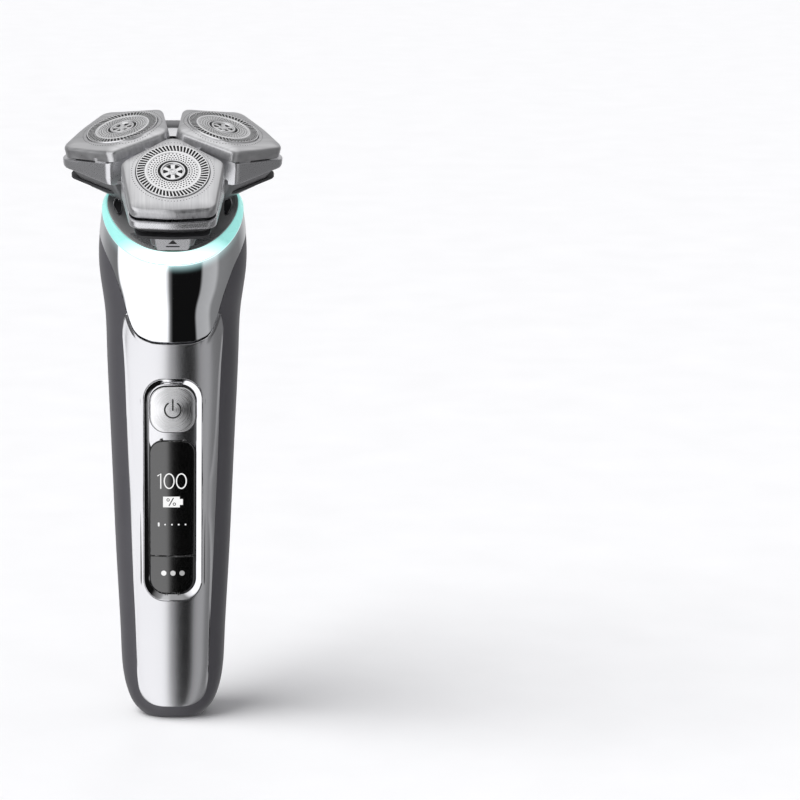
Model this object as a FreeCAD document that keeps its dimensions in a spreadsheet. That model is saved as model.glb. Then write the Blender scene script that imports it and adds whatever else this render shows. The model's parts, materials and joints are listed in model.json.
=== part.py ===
import FreeCAD, Part
import math
import os
import Sketcher
from FreeCAD import Placement, Rotation, Vector

# Rotary shaver with three floating heads.  Millimetres, +Z up, front faces -Y.
# The shaving unit is drawn upright in its own frame, then leaned forward in one step.

os.makedirs("parts", exist_ok=True)
doc = FreeCAD.newDocument("shaver")
dims = doc.addObject("Spreadsheet::Sheet", "dims")

DRIVING = [
    ("body_width", 42.4),       # across the shoulder
    ("body_depth", 39.0),       # front to back at the shoulder
    ("shoulder_z", 132.0),      # height of the widest section
    ("wall_thick", 1.8),        # outer shell
    ("liner_thick", 1.2),       # inner frame
    ("seam_gap", 0.12),         # between neighbouring fixed pieces
    ("run_gap", 0.08),          # between a moving piece and its guide
    ("unit_lean", 22.5),        # lean of the shaving unit, degrees
    ("neck_rise", 37.25),       # shoulder to the plane through the three heads
    ("unit_y", -8.0),           # forward offset of the same point
    ("ring_half_x", 20.2),      # light ring, outer edge
    ("ring_half_y", 19.0),
    ("ring_band", 2.6),         # its 45 degree band, each way
    ("lobe_pitch", 16.57),      # unit axis to head centre
    ("lobe_tilt", 15.0),        # outward tilt of each head, degrees
    ("cap_radius", 10.25),      # slotted guard cap
    ("cap_height", 2.75),
    ("skirt_depth", 3.4),       # head plate rim
    ("spindle_pitch", 15.2),    # unit axis to drive spindle
    ("gear_radius", 8.5),       # central gear
    ("gear_thick", 1.5),
    ("spindle_radius", 1.4),
    ("neck_radius", 7.52),      # plug of the shaving unit
    ("button_side", 13.0),      # power button
    ("button_corner", 4.5),
    ("button_z", 93.7),
    ("button_thick", 2.4),
    ("cell_radius", 7.1),       # battery
    ("cell_length", 48.0),
    ("motor_radius", 7.6),
    ("motor_length", 14.0),
    ("pin_radius", 1.0),
    ("comb_width", 20.4),
]
for row, (alias, value) in enumerate(DRIVING, start=1):
    dims.set("A%d" % row, str(value))
    dims.setAlias("A%d" % row, alias)
doc.recompute()

TEETH_CENTRE = 22
TEETH_SPINDLE = 17
LOBES = {"front": -90.0, "right": 30.0, "left": 150.0}
NODES = []


def val(text):
    """Value of an expression written in sheet names."""
    return float(dims.evalExpression(text))


def sheet_text(text):
    """The same expression as seen from another object."""
    for alias, _ in DRIVING:
        text = text.replace(alias, "dims." + alias)
    return text


def spin(axis, angle):
    return Placement(Vector(0, 0, 0), Rotation(Vector(*axis), angle))


def at(x, y, z):
    return Placement(Vector(x, y, z), Rotation())


UNIT = at(0, val("unit_y"), val("shoulder_z + neck_rise")) * spin((1, 0, 0), val("unit_lean"))


def lobe_pose(side):
    """Frame of one head: x outward, y along the rim, z out of the cap."""
    turn = spin((0, 0, 1), LOBES[side])
    return UNIT * turn * at(val("lobe_pitch"), 0, 0) * spin((0, 1, 0), val("lobe_tilt"))


def spindle_pose(side):
    return UNIT * spin((0, 0, 1), LOBES[side]) * at(val("spindle_pitch"), 0, 0)


def keep(obj, name, pose=None):
    obj.Label = name
    if pose is not None:
        obj.Placement = pose
    NODES.append(obj)
    return obj


# ---------- bodies drawn with sketches ----------

def new_body(name):
    return doc.addObject("PartDesign::Body", "body_" + name)


def origin_part(body, role):
    return next(item for item in body.Origin.OriginFeatures if item.Role == role)


def new_sketch(body, role="XY_Plane"):
    sketch = body.newObject("Sketcher::SketchObject", "sketch")
    sketch.AttachmentSupport = [(origin_part(body, role), "")]
    sketch.MapMode = "FlatFace"
    return sketch


def bind(sketch, constraint, text):
    number = sketch.addConstraint(constraint)
    label = "c%d" % number
    sketch.renameConstraint(number, label)
    sketch.setExpression("Constraints." + label, sheet_text(text))


def draw_polygon(sketch, corners):
    """Closed polygon; each corner is a pair of expressions."""
    spots = [(val(a), val(b)) for a, b in corners]
    first = len(sketch.Geometry)
    count = len(spots)
    for i, (x, y) in enumerate(spots):
        nx, ny = spots[(i + 1) % count]
        sketch.addGeometry(Part.LineSegment(Vector(x, y, 0), Vector(nx, ny, 0)), False)
    for i in range(count):
        follow = first + (i + 1) % count
        sketch.addConstraint(Sketcher.Constraint("Coincident", first + i, 2, follow, 1))
    for i, (x, y) in enumerate(spots):
        item = first + i
        bind(sketch, Sketcher.Constraint("DistanceX", -1, 1, item, 1, x), corners[i][0])
        bind(sketch, Sketcher.Constraint("DistanceY", -1, 1, item, 1, y), corners[i][1])


def draw_circle(sketch, x, y, radius):
    item = len(sketch.Geometry)
    circle = Part.Circle(Vector(val(x), val(y), 0), Vector(0, 0, 1), val(radius))
    sketch.addGeometry(circle, False)
    bind(sketch, Sketcher.Constraint("DistanceX", -1, 1, item, 3, val(x)), x)
    bind(sketch, Sketcher.Constraint("DistanceY", -1, 1, item, 3, val(y)), y)
    bind(sketch, Sketcher.Constraint("Radius", item, val(radius)), radius)


def turned(name, profile, pose):
    """Body of revolution about Z; profile is (radius, height) expressions."""
    body = new_body(name)
    sketch = new_sketch(body, "XZ_Plane")
    draw_polygon(sketch, profile)
    solid = body.newObject("PartDesign::Revolution", "turn")
    solid.Profile = sketch
    solid.ReferenceAxis = (sketch, ["V_Axis"])
    solid.Angle = 360
    return keep(body, name, pose)


def rectangle(x0, x1, y0, y1):
    return [(x0, y0), (x1, y0), (x1, y1), (x0, y1)]


def notch_around(body, corners, count):
    """Cut one notch right through, then repeat it round the axis."""
    sketch = new_sketch(body)
    draw_polygon(sketch, corners)
    cut = body.newObject("PartDesign::Pocket", "notch")
    cut.Profile = sketch
    cut.Type = 1
    cut.Midplane = True
    ring = body.newObject("PartDesign::PolarPattern", "notches")
    ring.Originals = [cut]
    ring.Axis = (origin_part(body, "Z_Axis"), [""])
    ring.Angle = 360
    ring.Occurrences = count
    body.Tip = ring


def block(name, spans, pose):
    """Part::Box from three (low, high) pairs of expressions."""
    box = doc.addObject("Part::Box", "box_" + name)
    for prop, (low, high) in zip(("Length", "Width", "Height"), spans):
        box.setExpression(prop, sheet_text("(%s) - (%s)" % (high, low)))
    corner = [val(low) for low, _ in spans]
    return keep(box, name, pose * at(*corner))


def rod(name, radius, length, pose):
    """Part::Cylinder with its axis along the pose's Z."""
    item = doc.addObject("Part::Cylinder", "rod_" + name)
    item.setExpression("Radius", sheet_text(radius))
    item.setExpression("Height", sheet_text(length))
    return keep(item, name, pose)


# ---------- solids made by code ----------

def solid_box(x0, x1, y0, y1, z0, z1):
    return Part.makeBox(x1 - x0, y1 - y0, z1 - z0, Vector(x0, y0, z0))


def solid_rod(radius, z0, z1, x=0.0, y=0.0):
    return Part.makeCylinder(radius, z1 - z0, Vector(x, y, z0))


def placed(shape, pose):
    result = shape.copy()
    result.transformShape(pose.toMatrix(), True)
    return result


def from_shape(name, shape, pose=None):
    """Feature holding one solid; crumbs left by a cut are dropped."""
    item = doc.addObject("Part::Feature", "made_" + name)
    solids = sorted(shape.Solids, key=lambda s: s.Volume)
    item.Shape = solids[-1]
    return keep(item, name, pose)


def oval(half_x, half_y, pose, power=2.35, count=40):
    """Closed smooth curve between an ellipse and a rounded box."""
    points = []
    for i in range(count):
        angle = 2 * math.pi * i / count
        c = math.cos(angle)
        s = math.sin(angle)
        x = math.copysign(abs(c) ** (2 / power), c) * half_x
        y = math.copysign(abs(s) ** (2 / power), s) * half_y
        points.append(pose.multVec(Vector(x, y, 0)))
    curve = Part.BSplineCurve()
    curve.interpolate(points, PeriodicFlag=True)
    return Part.Wire([curve.toShape()])


# Handle sections: height, centre y, half width, half depth, tilt in degrees.
# Heights are shares of the shoulder height; widths and depths of the shoulder's.
SECTIONS = [
    (0.000, 0.0, 0.425, 0.359, 0.0),
    (0.023, 0.1, 0.552, 0.482, 0.0),
    (0.045, 0.2, 0.618, 0.554, 0.0),
    (0.091, 0.4, 0.689, 0.636, 0.0),
    (0.167, 0.6, 0.722, 0.687, 0.0),
    (0.348, 0.95, 0.778, 0.736, 0.0),
    (0.530, 1.0, 0.825, 0.769, 0.0),
    (0.712, 0.95, 0.873, 0.805, 0.0),
    (0.833, 1.1, 0.901, 0.851, 1.0),
    (0.917, 1.4, 0.928, 0.933, 4.0),
    (1.000, 1.2, 1.000, 1.000, 12.0),
]
SCREW_Z = (20.0, 62.0)
RING_Z = -25.0
RING_Y = -1.2


def handle_solid(inset, floor, overrun):
    """Solid handle shape, shrunk by inset, from floor up to the ring plane."""
    half_x = val("body_width") / 2
    half_y = val("body_depth") / 2
    wires = []
    for share, yc, wide, deep, tilt in SECTIONS:
        z = share * val("shoulder_z")
        if z < floor:
            continue
        pose = at(0, yc, z) * spin((1, 0, 0), tilt)
        wires.append(oval(half_x * wide - inset, half_y * deep - inset, pose))
    if floor > 0:
        pose = at(0, 0.1, floor)
        wires.insert(0, oval(half_x * 0.52 - inset, half_y * 0.46 - inset, pose))
    top = UNIT * at(0, RING_Y, RING_Z)
    wires.append(oval(val("ring_half_x") - inset, val("ring_half_y") - inset, top))
    solid = Part.makeLoft(wires, True, False)
    if overrun:
        ends = [wires[-1], oval(val("ring_half_x") - inset, val("ring_half_y") - inset,
                                top * at(0, 0, overrun))]
        solid = solid.fuse(Part.makeLoft(ends, True, False))
    return solid


def front_prism(points, y_far):
    """Front-view outline pushed back from the front to y_far; right half given."""
    right = [Vector(x, -45, z) for x, z in points]
    left = [Vector(-x, -45, z) for x, z in reversed(points) if x > 0.01]
    curve = Part.BSplineCurve()
    curve.interpolate(right[::-1] + left[::-1])
    first = curve.StartPoint
    last = curve.EndPoint
    wire = Part.Wire([curve.toShape(), Part.LineSegment(last, first).toShape()])
    return Part.Face(wire).extrude(Vector(0, y_far + 45, 0))


def shield_prism(grow):
    scale_x = val("body_width") / 42.4
    scale_z = val("shoulder_z") / 132.0
    spots = [(0, 112.8), (3.5, 112.9), (6.5, 113.3), (10, 115.0), (12, 118.5), (14.3, 126.5),
             (17.2, 134.0), (20.6, 141.0), (23.5, 152.0)]
    grown = []
    for x, z in spots:
        side = min(1.0, x / 9.0)
        grown.append((x * scale_x + grow * side, z * scale_z - grow * (1 - side * 0.4)))
    return front_prism(grown, 3.0)


def panel_prism(grow):
    """Outline of the front panel, its bottom corners rounded."""
    scale_x = val("body_width") / 42.4
    scale_z = val("shoulder_z") / 132.0
    spots = [(0, 3.9), (4.4, 4.1), (7.6, 5.4), (9.6, 8.2), (10.3, 12.5), (10.5, 18.5),
             (10.9, 31), (11.6, 46), (12.25, 62.6), (13.0, 82), (13.7, 104), (14.4, 115),
             (14.5, 120), (14.0, 125.0)]
    grown = []
    for x, z in spots:
        down = grow if z < 10 else 0.0
        grown.append((x * scale_x + grow * min(1.0, x / 4.0), z * scale_z - down))
    return front_prism(grown, -1.0)


def slot_prism(half_x, z0, z1, y0, y1, corner):
    """Rounded upright slot as a solid between y0 and y1."""
    box = solid_box(-half_x, half_x, y0, y1, z0, z1)
    upright = [e for e in box.Edges if abs(e.tangentAt(e.FirstParameter).y) > 0.9]
    return box.makeFillet(corner, upright)


def rounded_wire(corners, radii, z, scale, pose):
    """Polygon with rounded corners, mirrored in y; corners given for y >= 0."""
    spots = [Vector(x * scale, y * scale, z) for x, y in corners]
    mirror = [Vector(p.x, -p.y, z) for p in reversed(spots) if p.y > 0.01]
    spots = spots + mirror
    sizes = list(radii) + [r for r, p in reversed(list(zip(radii, corners))) if p[1] > 0.01]
    edges = []
    ends = []
    count = len(spots)
    for i in range(count):
        here = spots[i]
        back = (spots[i - 1] - here).normalize()
        ahead = (spots[(i + 1) % count] - here).normalize()
        half = back.getAngle(ahead) / 2
        reach = sizes[i] * scale / math.tan(half)
        start = here + back * reach
        stop = here + ahead * reach
        middle_dir = (back + ahead).normalize()
        size = sizes[i] * scale
        middle = here + middle_dir * (size / math.sin(half) - size)
        edges.append(Part.Arc(start, middle, stop).toShape())
        ends.append((start, stop))
    chain = []
    for i in range(count):
        chain.append(edges[i])
        chain.append(Part.LineSegment(ends[i][1], ends[(i + 1) % count][0]).toShape())
    wire = Part.Wire(chain)
    return placed(wire, pose)


PLATE_CORNERS = [(-15.4, 0.0), (-4.6, 14.6), (3.3, 13.4), (13.8, 11.8), (14.8, 0.0)]
PLATE_RADII = [4.5, 3.0, 6.0, 3.0, 40.0]


def lobe_loft(levels, pose):
    """Loft through plate outlines; levels are (height, scale)."""
    wires = [rounded_wire(PLATE_CORNERS, PLATE_RADII, z, k, pose) for z, k in levels]
    return Part.makeLoft(wires, True, True)


# ---------- handle ----------

def build_handle():
    wall = val("wall_thick")
    gap = val("seam_gap")
    run = val("run_gap")
    liner = val("liner_thick")
    outer = handle_solid(0.0, 0.0, 0.0)
    cavity = handle_solid(wall, 2.4, 3.0)
    shell = outer.cut(cavity)
    shield_hole = shield_prism(gap)
    panel_hole = panel_prism(gap)

    # pop-up trimmer bay, inlet mouth and slot for the trimmer catch
    bay = solid_box(-11.5, 11.5, 11.8, 40, 90.8, 119.2)
    bay = bay.fuse(solid_box(-11.5, 11.5, 10.9, 40, 90.8, 96.0))
    tray = solid_box(-12.6, 12.6, 9.8, 40, 89.6, 120.4).common(outer)
    mouth = solid_box(-5.4, 5.4, -3.2, 3.2, -1, 3)
    catch = solid_box(-6.0 - run, 6.0 + run, 12.5, 40, 74.0 - run, 84.2)
    screws = [Part.makeCylinder(2.5, 20, Vector(0, 9, z), Vector(0, 1, 0)) for z in SCREW_Z]
    rear = outer.cut(shield_hole).cut(cavity).cut(panel_hole).fuse(tray)
    for tool in [bay, mouth, catch] + screws:
        rear = rear.cut(tool)
    from_shape("rear_cover", rear)

    side = val("button_side") / 2
    low = 37.0
    high = 102.5
    slot = slot_prism(8.3, low, high, -45, -2, 6.0)
    slot_gap = slot_prism(8.3 + gap, low - gap, high + gap, -45, -2, 6.0)
    panel = shell.common(panel_prism(0.0)).cut(shield_hole).cut(slot_gap)
    from_shape("front_panel", panel)
    shield = shell.common(shield_prism(0.0))
    if rear.common(shield).Volume > 1.0:
        raise RuntimeError("the shield opening was not cut")
    from_shape("upper_shield", shield)

    window = slot_prism(side + 0.1, 39.2, high - 2.2, -45, -2, 4.6)
    from_shape("control_bezel", shell.common(slot).cut(window))
    skin = outer.cut(handle_solid(1.2, 2.4, 0.0))
    lens = skin.common(slot_prism(side, 50.35, 84.3, -45, -2, 1.5))
    from_shape("display_lens", lens)
    mode = shell.common(slot_prism(side, 39.3, high - 2.3, -45, -2, 4.55))
    mode = mode.common(solid_box(-20, 20, -45, 20, 39, 50.25 - run))
    from_shape("mode_button", mode)

    # inner frame: a liner with cross ribs that carry the cell and the boards
    liner_outer = handle_solid(wall + gap, 2.4, 0.0)
    liner_inner = handle_solid(wall + gap + liner, 2.4, 0.0)
    reach = solid_box(-30, 30, -30, 30, 12.7, 116.0)
    frame = liner_outer.cut(liner_inner).common(reach)
    for z in (12.7, 28.4, 83.0):
        rib = solid_box(-30, 30, -8.3, 30, z, z + 1.4).common(liner_outer)
        frame = frame.fuse(rib)
    frame = frame.cut(slot_prism(7.2, 38.0, 101.5, -45, -2, 5.0))
    frame = frame.cut(solid_box(-8.3, 8.3, -9.9, -8.4, 29.8, 104.2))
    frame = frame.cut(solid_box(-12.8, 12.8, 9.6, 40, 89.4, 120.6))
    frame = frame.cut(solid_box(-6.4, 6.4, 12.0, 40, 73.4, 84.9))
    for z in SCREW_Z:
        frame = frame.cut(Part.makeCylinder(2.5, 20, Vector(0, 13.0, z), Vector(0, 1, 0)))
        frame = frame.cut(Part.makeCylinder(1.3, 20, Vector(0, 9, z), Vector(0, 1, 0)))
    from_shape("inner_frame", frame)

    # motor plate fills the cavity square to the unit axis
    slab = placed(solid_box(-40, 40, -40, 40, -30.2, -28.2), UNIT)
    plate = handle_solid(wall + gap, 2.4, 0.0).common(slab)
    plate = plate.cut(placed(solid_rod(2.2, -40, -20), UNIT))
    from_shape("motor_mount", plate)

    handle_pose = at(0, 0, 0)
    block("display_module", [("-6.2", "6.2"), ("-11.0", "-9.8"), ("51", "84")], handle_pose)
    block("main_board", [("-8.2", "8.2"), ("-9.7", "-8.5"), ("30", "104")], handle_pose)
    block("button_contacts", [("-4.0", "4.0"), ("-11.2", "-9.8"), ("90", "97")], handle_pose)
    block("mode_contact", [("-3.0", "3.0"), ("-11.0", "-9.8"), ("42", "48")], handle_pose)
    rod("battery_cell", "cell_radius", "cell_length", at(0, 0.2, 32.0))
    for name, z in (("cell_strap_lower", 30.0), ("cell_strap_upper", 80.2)):
        block(name, [("-4", "4"), ("-3.8", "4.2"), ("%g" % z, "%g" % (z + 1.8))], handle_pose)


def build_buttons():
    """Round-cornered power button on its stem."""
    body = new_body("power_button")
    sketch = new_sketch(body, "XZ_Plane")
    half = "button_side / 2"
    draw_polygon(sketch, rectangle("-(%s)" % half, half, "-(%s)" % half, half))
    pad = body.newObject("PartDesign::Pad", "pad")
    pad.Profile = sketch
    pad.setExpression("Length", "dims.button_thick")
    doc.recompute()
    corner = body.newObject("PartDesign::Fillet", "corner")
    upright = []
    for index, edge in enumerate(pad.Shape.Edges, start=1):
        if abs(edge.tangentAt(edge.FirstParameter).y) > 0.9:
            upright.append("Edge%d" % index)
    corner.Base = (pad, upright)
    corner.setExpression("Radius", "dims.button_corner")
    body.Tip = corner
    keep(body, "power_button", at(0, -12.6, val("button_z")))


def build_ring():
    """Light ring, its board and the collar dish, in the unit frame."""
    band = val("ring_band")
    half_x = val("ring_half_x")
    half_y = val("ring_half_y")
    gap = val("seam_gap")

    def rim(inset, z):
        return oval(half_x - inset, half_y - inset, at(0, RING_Y, z))

    top = RING_Z + band
    low = RING_Z + gap
    band_solid = Part.makeLoft([rim(0.05, low), rim(band, top)], True, True)
    bore = Part.makeLoft([rim(2.0, low - 0.01), rim(band + 1.3, top + 0.01)], True, True)
    from_shape("light_ring", band_solid.cut(bore), UNIT)
    board = Part.makeLoft([rim(2.1, low - 1.2), rim(2.1, low - 0.2)], True, True)
    hole = Part.makeLoft([rim(3.8, low - 2), rim(3.8, low + 1)], True, True)
    from_shape("light_board", board.cut(hole), UNIT)

    dish = Part.makeLoft([rim(4.0, RING_Z - 1.0), rim(band + 1.4 + 0.0, top)], True, True)
    scoop = Part.makeLoft([rim(6.2, RING_Z + 0.4), rim(band + 2.2, top + 0.01)], True, True)
    dish = dish.cut(scoop)
    socket = val("neck_radius") + val("run_gap")
    dish = dish.fuse(solid_rod(socket + 1.3, -28.1, -21.5))
    dish = dish.cut(solid_rod(socket, -24.4, -20))
    dish = dish.cut(solid_rod(4.7, -26.0, -20))
    dish = dish.cut(solid_rod(3.9, -30, -20))
    for side in (-1, 1):
        dish = dish.cut(solid_rod(1.3, -24.0, -20, side * 12.9, RING_Y))
    from_shape("neck_collar", dish, UNIT)
    turned("shaft_seal", [("3.3", "-25.9"), ("4.6", "-25.9"), ("4.6", "-24.6"), ("3.3", "-25.0")],
           UNIT)


def build_drive():
    drop = "-30.3 - motor_length"
    turned("motor_can", [("1.5", drop), ("motor_radius", drop), ("motor_radius", "-30.4"),
                         ("2.2", "-30.4"), ("2.2", "-31.4"), ("1.5", "-31.4")], UNIT)
    rod("motor_shaft", "1.0", "motor_length + 3.0", UNIT * at(0, 0, val(drop) + 0.5))
    turned("drive_coupling", [("0", "-26.7"), ("3.2", "-26.7"), ("3.2", "-21.0"), ("2.0", "-21.0"),
                              ("2.0", "-24.5"), ("0", "-24.5")], UNIT)
    block("tail_connector", [("-5", "5"), ("-7.9", "-4.5"), ("16", "26")], at(0, 0, 0))


def build_inlet():
    body = new_body("charging_inlet")
    sketch = new_sketch(body)
    draw_polygon(sketch, rectangle("-6.5", "6.5", "-4.3", "4.3"))
    pad = body.newObject("PartDesign::Pad", "pad")
    pad.Profile = sketch
    pad.Length = 10.0
    hollow = new_sketch(body)
    draw_polygon(hollow, rectangle("-5.4", "5.4", "-3.2", "3.2"))
    cut = body.newObject("PartDesign::Pocket", "hollow")
    cut.Profile = hollow
    cut.Length = 8.8
    cut.Reversed = True
    keep(body, "charging_inlet", at(0, 0, 2.5))
    for name, x in (("inlet_pin_left", -2.5), ("inlet_pin_right", 2.5)):
        rod(name, "0.8", "4.0", at(x, 0, 7.2))


def build_screws():
    for name, y, z in zip(("case_screw_lower", "case_screw_upper"), (7.9, 9.7), SCREW_Z):
        profile = [("0", "-1.0"), ("1.2", "-1.0"), ("1.2", "4.4"), ("2.4", "4.4"), ("2.4", "5.6"),
                   ("0.8", "5.6"), ("0.8", "5.0"), ("0", "5.0")]
        turned(name, profile, at(0, y, z) * spin((1, 0, 0), -90))


# ---------- pop-up trimmer at the back ----------

HINGE_Y = 13.3
HINGE_Z = 93.2


def build_trimmer():
    """Lid that follows the back of the handle and swings out about its lower edge."""
    run = val("run_gap")
    outer = handle_solid(0.0, 0.0, 0.0)
    lid = outer.common(solid_box(-11.3, 11.3, 12.0, 40, HINGE_Z, 119.0))
    barrel = Part.makeCylinder(2.2, 22.6, Vector(-11.3, HINGE_Y, HINGE_Z), Vector(1, 0, 0))
    lid = lid.fuse(barrel.common(outer))
    lid = lid.cut(solid_box(-10.4, 10.4, 11, 14.6, 114.0, 120))
    lid = lid.cut(solid_box(-9.6, 9.6, 11, 13.6, 97.0, 115))
    pin_hole = val("pin_radius") - 0.2 + run
    lid = lid.cut(Part.makeCylinder(pin_hole, 40, Vector(-20, HINGE_Y, HINGE_Z), Vector(1, 0, 0)))
    lid = lid.cut(solid_box(-4.2, 4.2, 10, 15.2, 90.0, 95.2))
    from_shape("trimmer_housing", lid)
    across = Placement(Vector(-11.4, HINGE_Y, HINGE_Z), Rotation(Vector(0, 1, 0), 90))
    rod("trimmer_hinge_pin", "pin_radius - 0.2", "22.8", across)
    coil = Placement(Vector(-4.0, HINGE_Y, HINGE_Z), Rotation(Vector(0, 1, 0), 90))
    turned("trimmer_spring", rectangle("pin_radius - 0.12", "pin_radius + 0.5", "0", "8"), coil)
    comb(("trimmer_comb", "trimmer_blade"), (12.4, 13.45), (1.0, 0.7), (114.6, 114.4))
    block("trimmer_catch", [("-6", "6"), ("13.7", "17.2"), ("74", "80")], at(0, 0, 0))


def comb(names, fronts, depths, lows):
    """Fixed comb and the moving blade behind it, both with cut teeth."""
    for name, y, depth, low in zip(names, fronts, depths, lows):
        body = new_body(name)
        sketch = new_sketch(body, "XZ_Plane")
        half = "comb_width / 2" if name == "trimmer_comb" else "comb_width / 2 - 1"
        draw_polygon(sketch, rectangle("-(%s)" % half, half, "0", "4.3"))
        pad = body.newObject("PartDesign::Pad", "pad")
        pad.Profile = sketch
        pad.Length = depth
        pad.Reversed = True
        gap = new_sketch(body, "XZ_Plane")
        left = "-(%s) + 0.9" % half
        draw_polygon(gap, rectangle(left, left + " + 0.8", "2.6", "5.0"))
        cut = body.newObject("PartDesign::Pocket", "gap")
        cut.Profile = gap
        cut.Type = 1
        cut.Midplane = True
        row = body.newObject("PartDesign::LinearPattern", "teeth")
        row.Originals = [cut]
        row.Direction = (origin_part(body, "X_Axis"), [""])
        row.setExpression("Length", sheet_text("2 * (%s) - 2.6" % half))
        row.Occurrences = 11
        body.Tip = row
        keep(body, name, at(0, y, low))


# ---------- shaving unit ----------

CARRIER_TOP = -8.4
CARRIER_LOW = -10.6
OPEN_Y = 25.6
OPEN_Z = -9.5


def plan_pose(side):
    return spin((0, 0, 1), LOBES[side]) * at(val("lobe_pitch"), 0, 0)


def tri_solid(levels):
    """Three plan lobes fused into one clover."""
    result = None
    for side in LOBES:
        part = lobe_loft(levels, plan_pose(side))
        result = part if result is None else result.fuse(part)
    return result


def knuckle(x0, x1, radius):
    return Part.makeCylinder(radius, x1 - x0, Vector(x0, OPEN_Y, OPEN_Z), Vector(1, 0, 0))


def build_base():
    gap = val("run_gap")
    low = CARRIER_LOW - 0.15
    shell = tri_solid([(low, 0.95), (-14.0, 0.93), (-16.6, 0.86), (-17.8, 0.72)])
    shell = shell.fuse(Part.makeCone(9.0, 18.5, 4.3, Vector(0, 0, -20.8)))
    shell = shell.fuse(solid_rod(15.0, -16.6, low))
    shell = shell.fuse(solid_box(-8.5, 8.5, -27.0, -12.0, -21.0, -14.0))
    shell = shell.fuse(solid_rod(val("neck_radius"), -24.2, -19.0))
    # rear arm that carries the opening hinge
    shell = shell.fuse(solid_box(-6.6, 6.6, 14.0, OPEN_Y - 0.5, -14.5, -12.2))
    for side in (-1, 1):
        x0 = min(side * 3.9, side * 6.6)
        lug = solid_box(x0, x0 + 2.7, OPEN_Y - 2.3, OPEN_Y + 1.2, -14.5, OPEN_Z)
        shell = shell.fuse(lug).fuse(knuckle(x0, x0 + 2.7, 2.0))
    chamber = tri_solid([(-14.6, 0.86), (low + 1, 0.88)])
    shell = shell.cut(chamber).cut(solid_rod(13.0, -14.6, low + 1))
    shell = shell.cut(solid_rod(val("gear_radius") + 0.4, -16.9, -10))
    shell = shell.cut(solid_rod(5.0, -30, -10))
    small = small_gear_radius() + 0.4
    for side in LOBES:
        spot = spin((0, 0, 1), LOBES[side]).multVec(Vector(val("spindle_pitch"), 0, 0))
        shell = shell.cut(solid_rod(small, -16.9, -10, spot.x, spot.y))
    shell = shell.cut(knuckle(-8, 8, val("pin_radius") + 0.02))
    shell = shell.cut(solid_box(-5.3, 5.3, -30, -23.4, -20.9, -15.0))
    shell = shell.cut(Part.makeCylinder(1.6, 1.4, Vector(0, -23.5, -18.6), Vector(0, 1, 0)))
    from_shape("unit_base", shell, UNIT)
    hinge = UNIT * Placement(Vector(-6.6, OPEN_Y, OPEN_Z), Rotation(Vector(0, 1, 0), 90))
    rod("unit_hinge_pin", "pin_radius", "13.2", hinge)
    block("release_button", [("-5.2", "5.2"), ("-26.9", "-24.6"), ("-20.8", "-15.1")], UNIT)
    spring = UNIT * Placement(Vector(0, -24.55, -18.6), Rotation(Vector(1, 0, 0), -90))
    turned("release_spring", rectangle("1.0", "1.5", "0", "2.3"), spring)


def small_gear_radius():
    return val("spindle_pitch") - val("gear_radius") - val("run_gap")


def gear(name, radius, teeth, profile, pose):
    body = turned(name, profile, pose)
    notch_around(body, [("%s - 0.6" % radius, "-0.18"), ("%s + 1" % radius, "-0.36"),
                        ("%s + 1" % radius, "0.36"), ("%s - 0.6" % radius, "0.18")], teeth)


def build_gears():
    small = "(spindle_pitch - gear_radius - run_gap)"
    floor = "-16.7"
    top = "-16.7 + gear_thick"
    gear("central_gear", "gear_radius", TEETH_CENTRE,
         [("0", "-24.2"), ("1.9", "-24.2"), ("1.9", floor), ("gear_radius", floor),
          ("gear_radius", top), ("0", top)], UNIT)
    for side in LOBES:
        gear("drive_spindle_" + side, small, TEETH_SPINDLE,
             [("0", floor), (small, floor), (small, top), ("spindle_radius", top),
              ("spindle_radius", "-6.4"), ("spindle_radius - 0.5", "-5.4"),
              ("0", "-5.4")], spindle_pose(side))
    cover = tri_solid([(-14.5, 0.85), (-13.7, 0.85)]).fuse(solid_rod(12.9, -14.5, -13.7))
    for side in LOBES:
        spot = spin((0, 0, 1), LOBES[side]).multVec(Vector(val("spindle_pitch"), 0, 0))
        hole = solid_rod(val("spindle_radius") + val("run_gap"), -20, 0, spot.x, spot.y)
        cover = cover.cut(hole)
    from_shape("gear_cover", cover, UNIT)


PIVOT_N = -5.2
CUP_TOP = -4.7


def build_carrier():
    """Three cups that hold the heads; the frame swings open for rinsing."""
    ring = solid_rod(14.0, CARRIER_LOW, CARRIER_LOW + 1.3)
    for side in LOBES:
        ring = ring.fuse(head_cup(side))
    for side in LOBES:
        spot = plan_pose(side).multVec(Vector(-1.8, 0, 0))
        ring = ring.cut(solid_rod(11.0, -20, CARRIER_LOW + 1.4, spot.x, spot.y))
        ring = ring.cut(cup_hollow(side))
    for side in LOBES:
        ring = ring.fuse(head_posts(side))
        bore = Part.makeCylinder(1.08, 26, Vector(0, -13, PIVOT_N), Vector(0, 1, 0))
        ring = ring.cut(placed(bore, lobe_in_unit(side)))
    ring = ring.fuse(solid_box(-3.7, 3.7, 13.0, OPEN_Y, CARRIER_LOW, CARRIER_TOP))
    ring = ring.fuse(knuckle(-3.7, 3.7, 2.0))
    ring = ring.cut(knuckle(-8, 8, val("pin_radius") + val("run_gap")))
    from_shape("head_carrier", ring, UNIT)


def lobe_in_unit(side):
    return UNIT.inverse() * lobe_pose(side)


def head_cup(side):
    """Upright wall under one head, its top parallel to the head plate."""
    column = lobe_loft([(CARRIER_LOW, 1.02), (6.0, 1.02)], plan_pose(side))
    below = placed(solid_box(-40, 40, -40, 40, -60, CUP_TOP), lobe_in_unit(side))
    return column.common(below)


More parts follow.
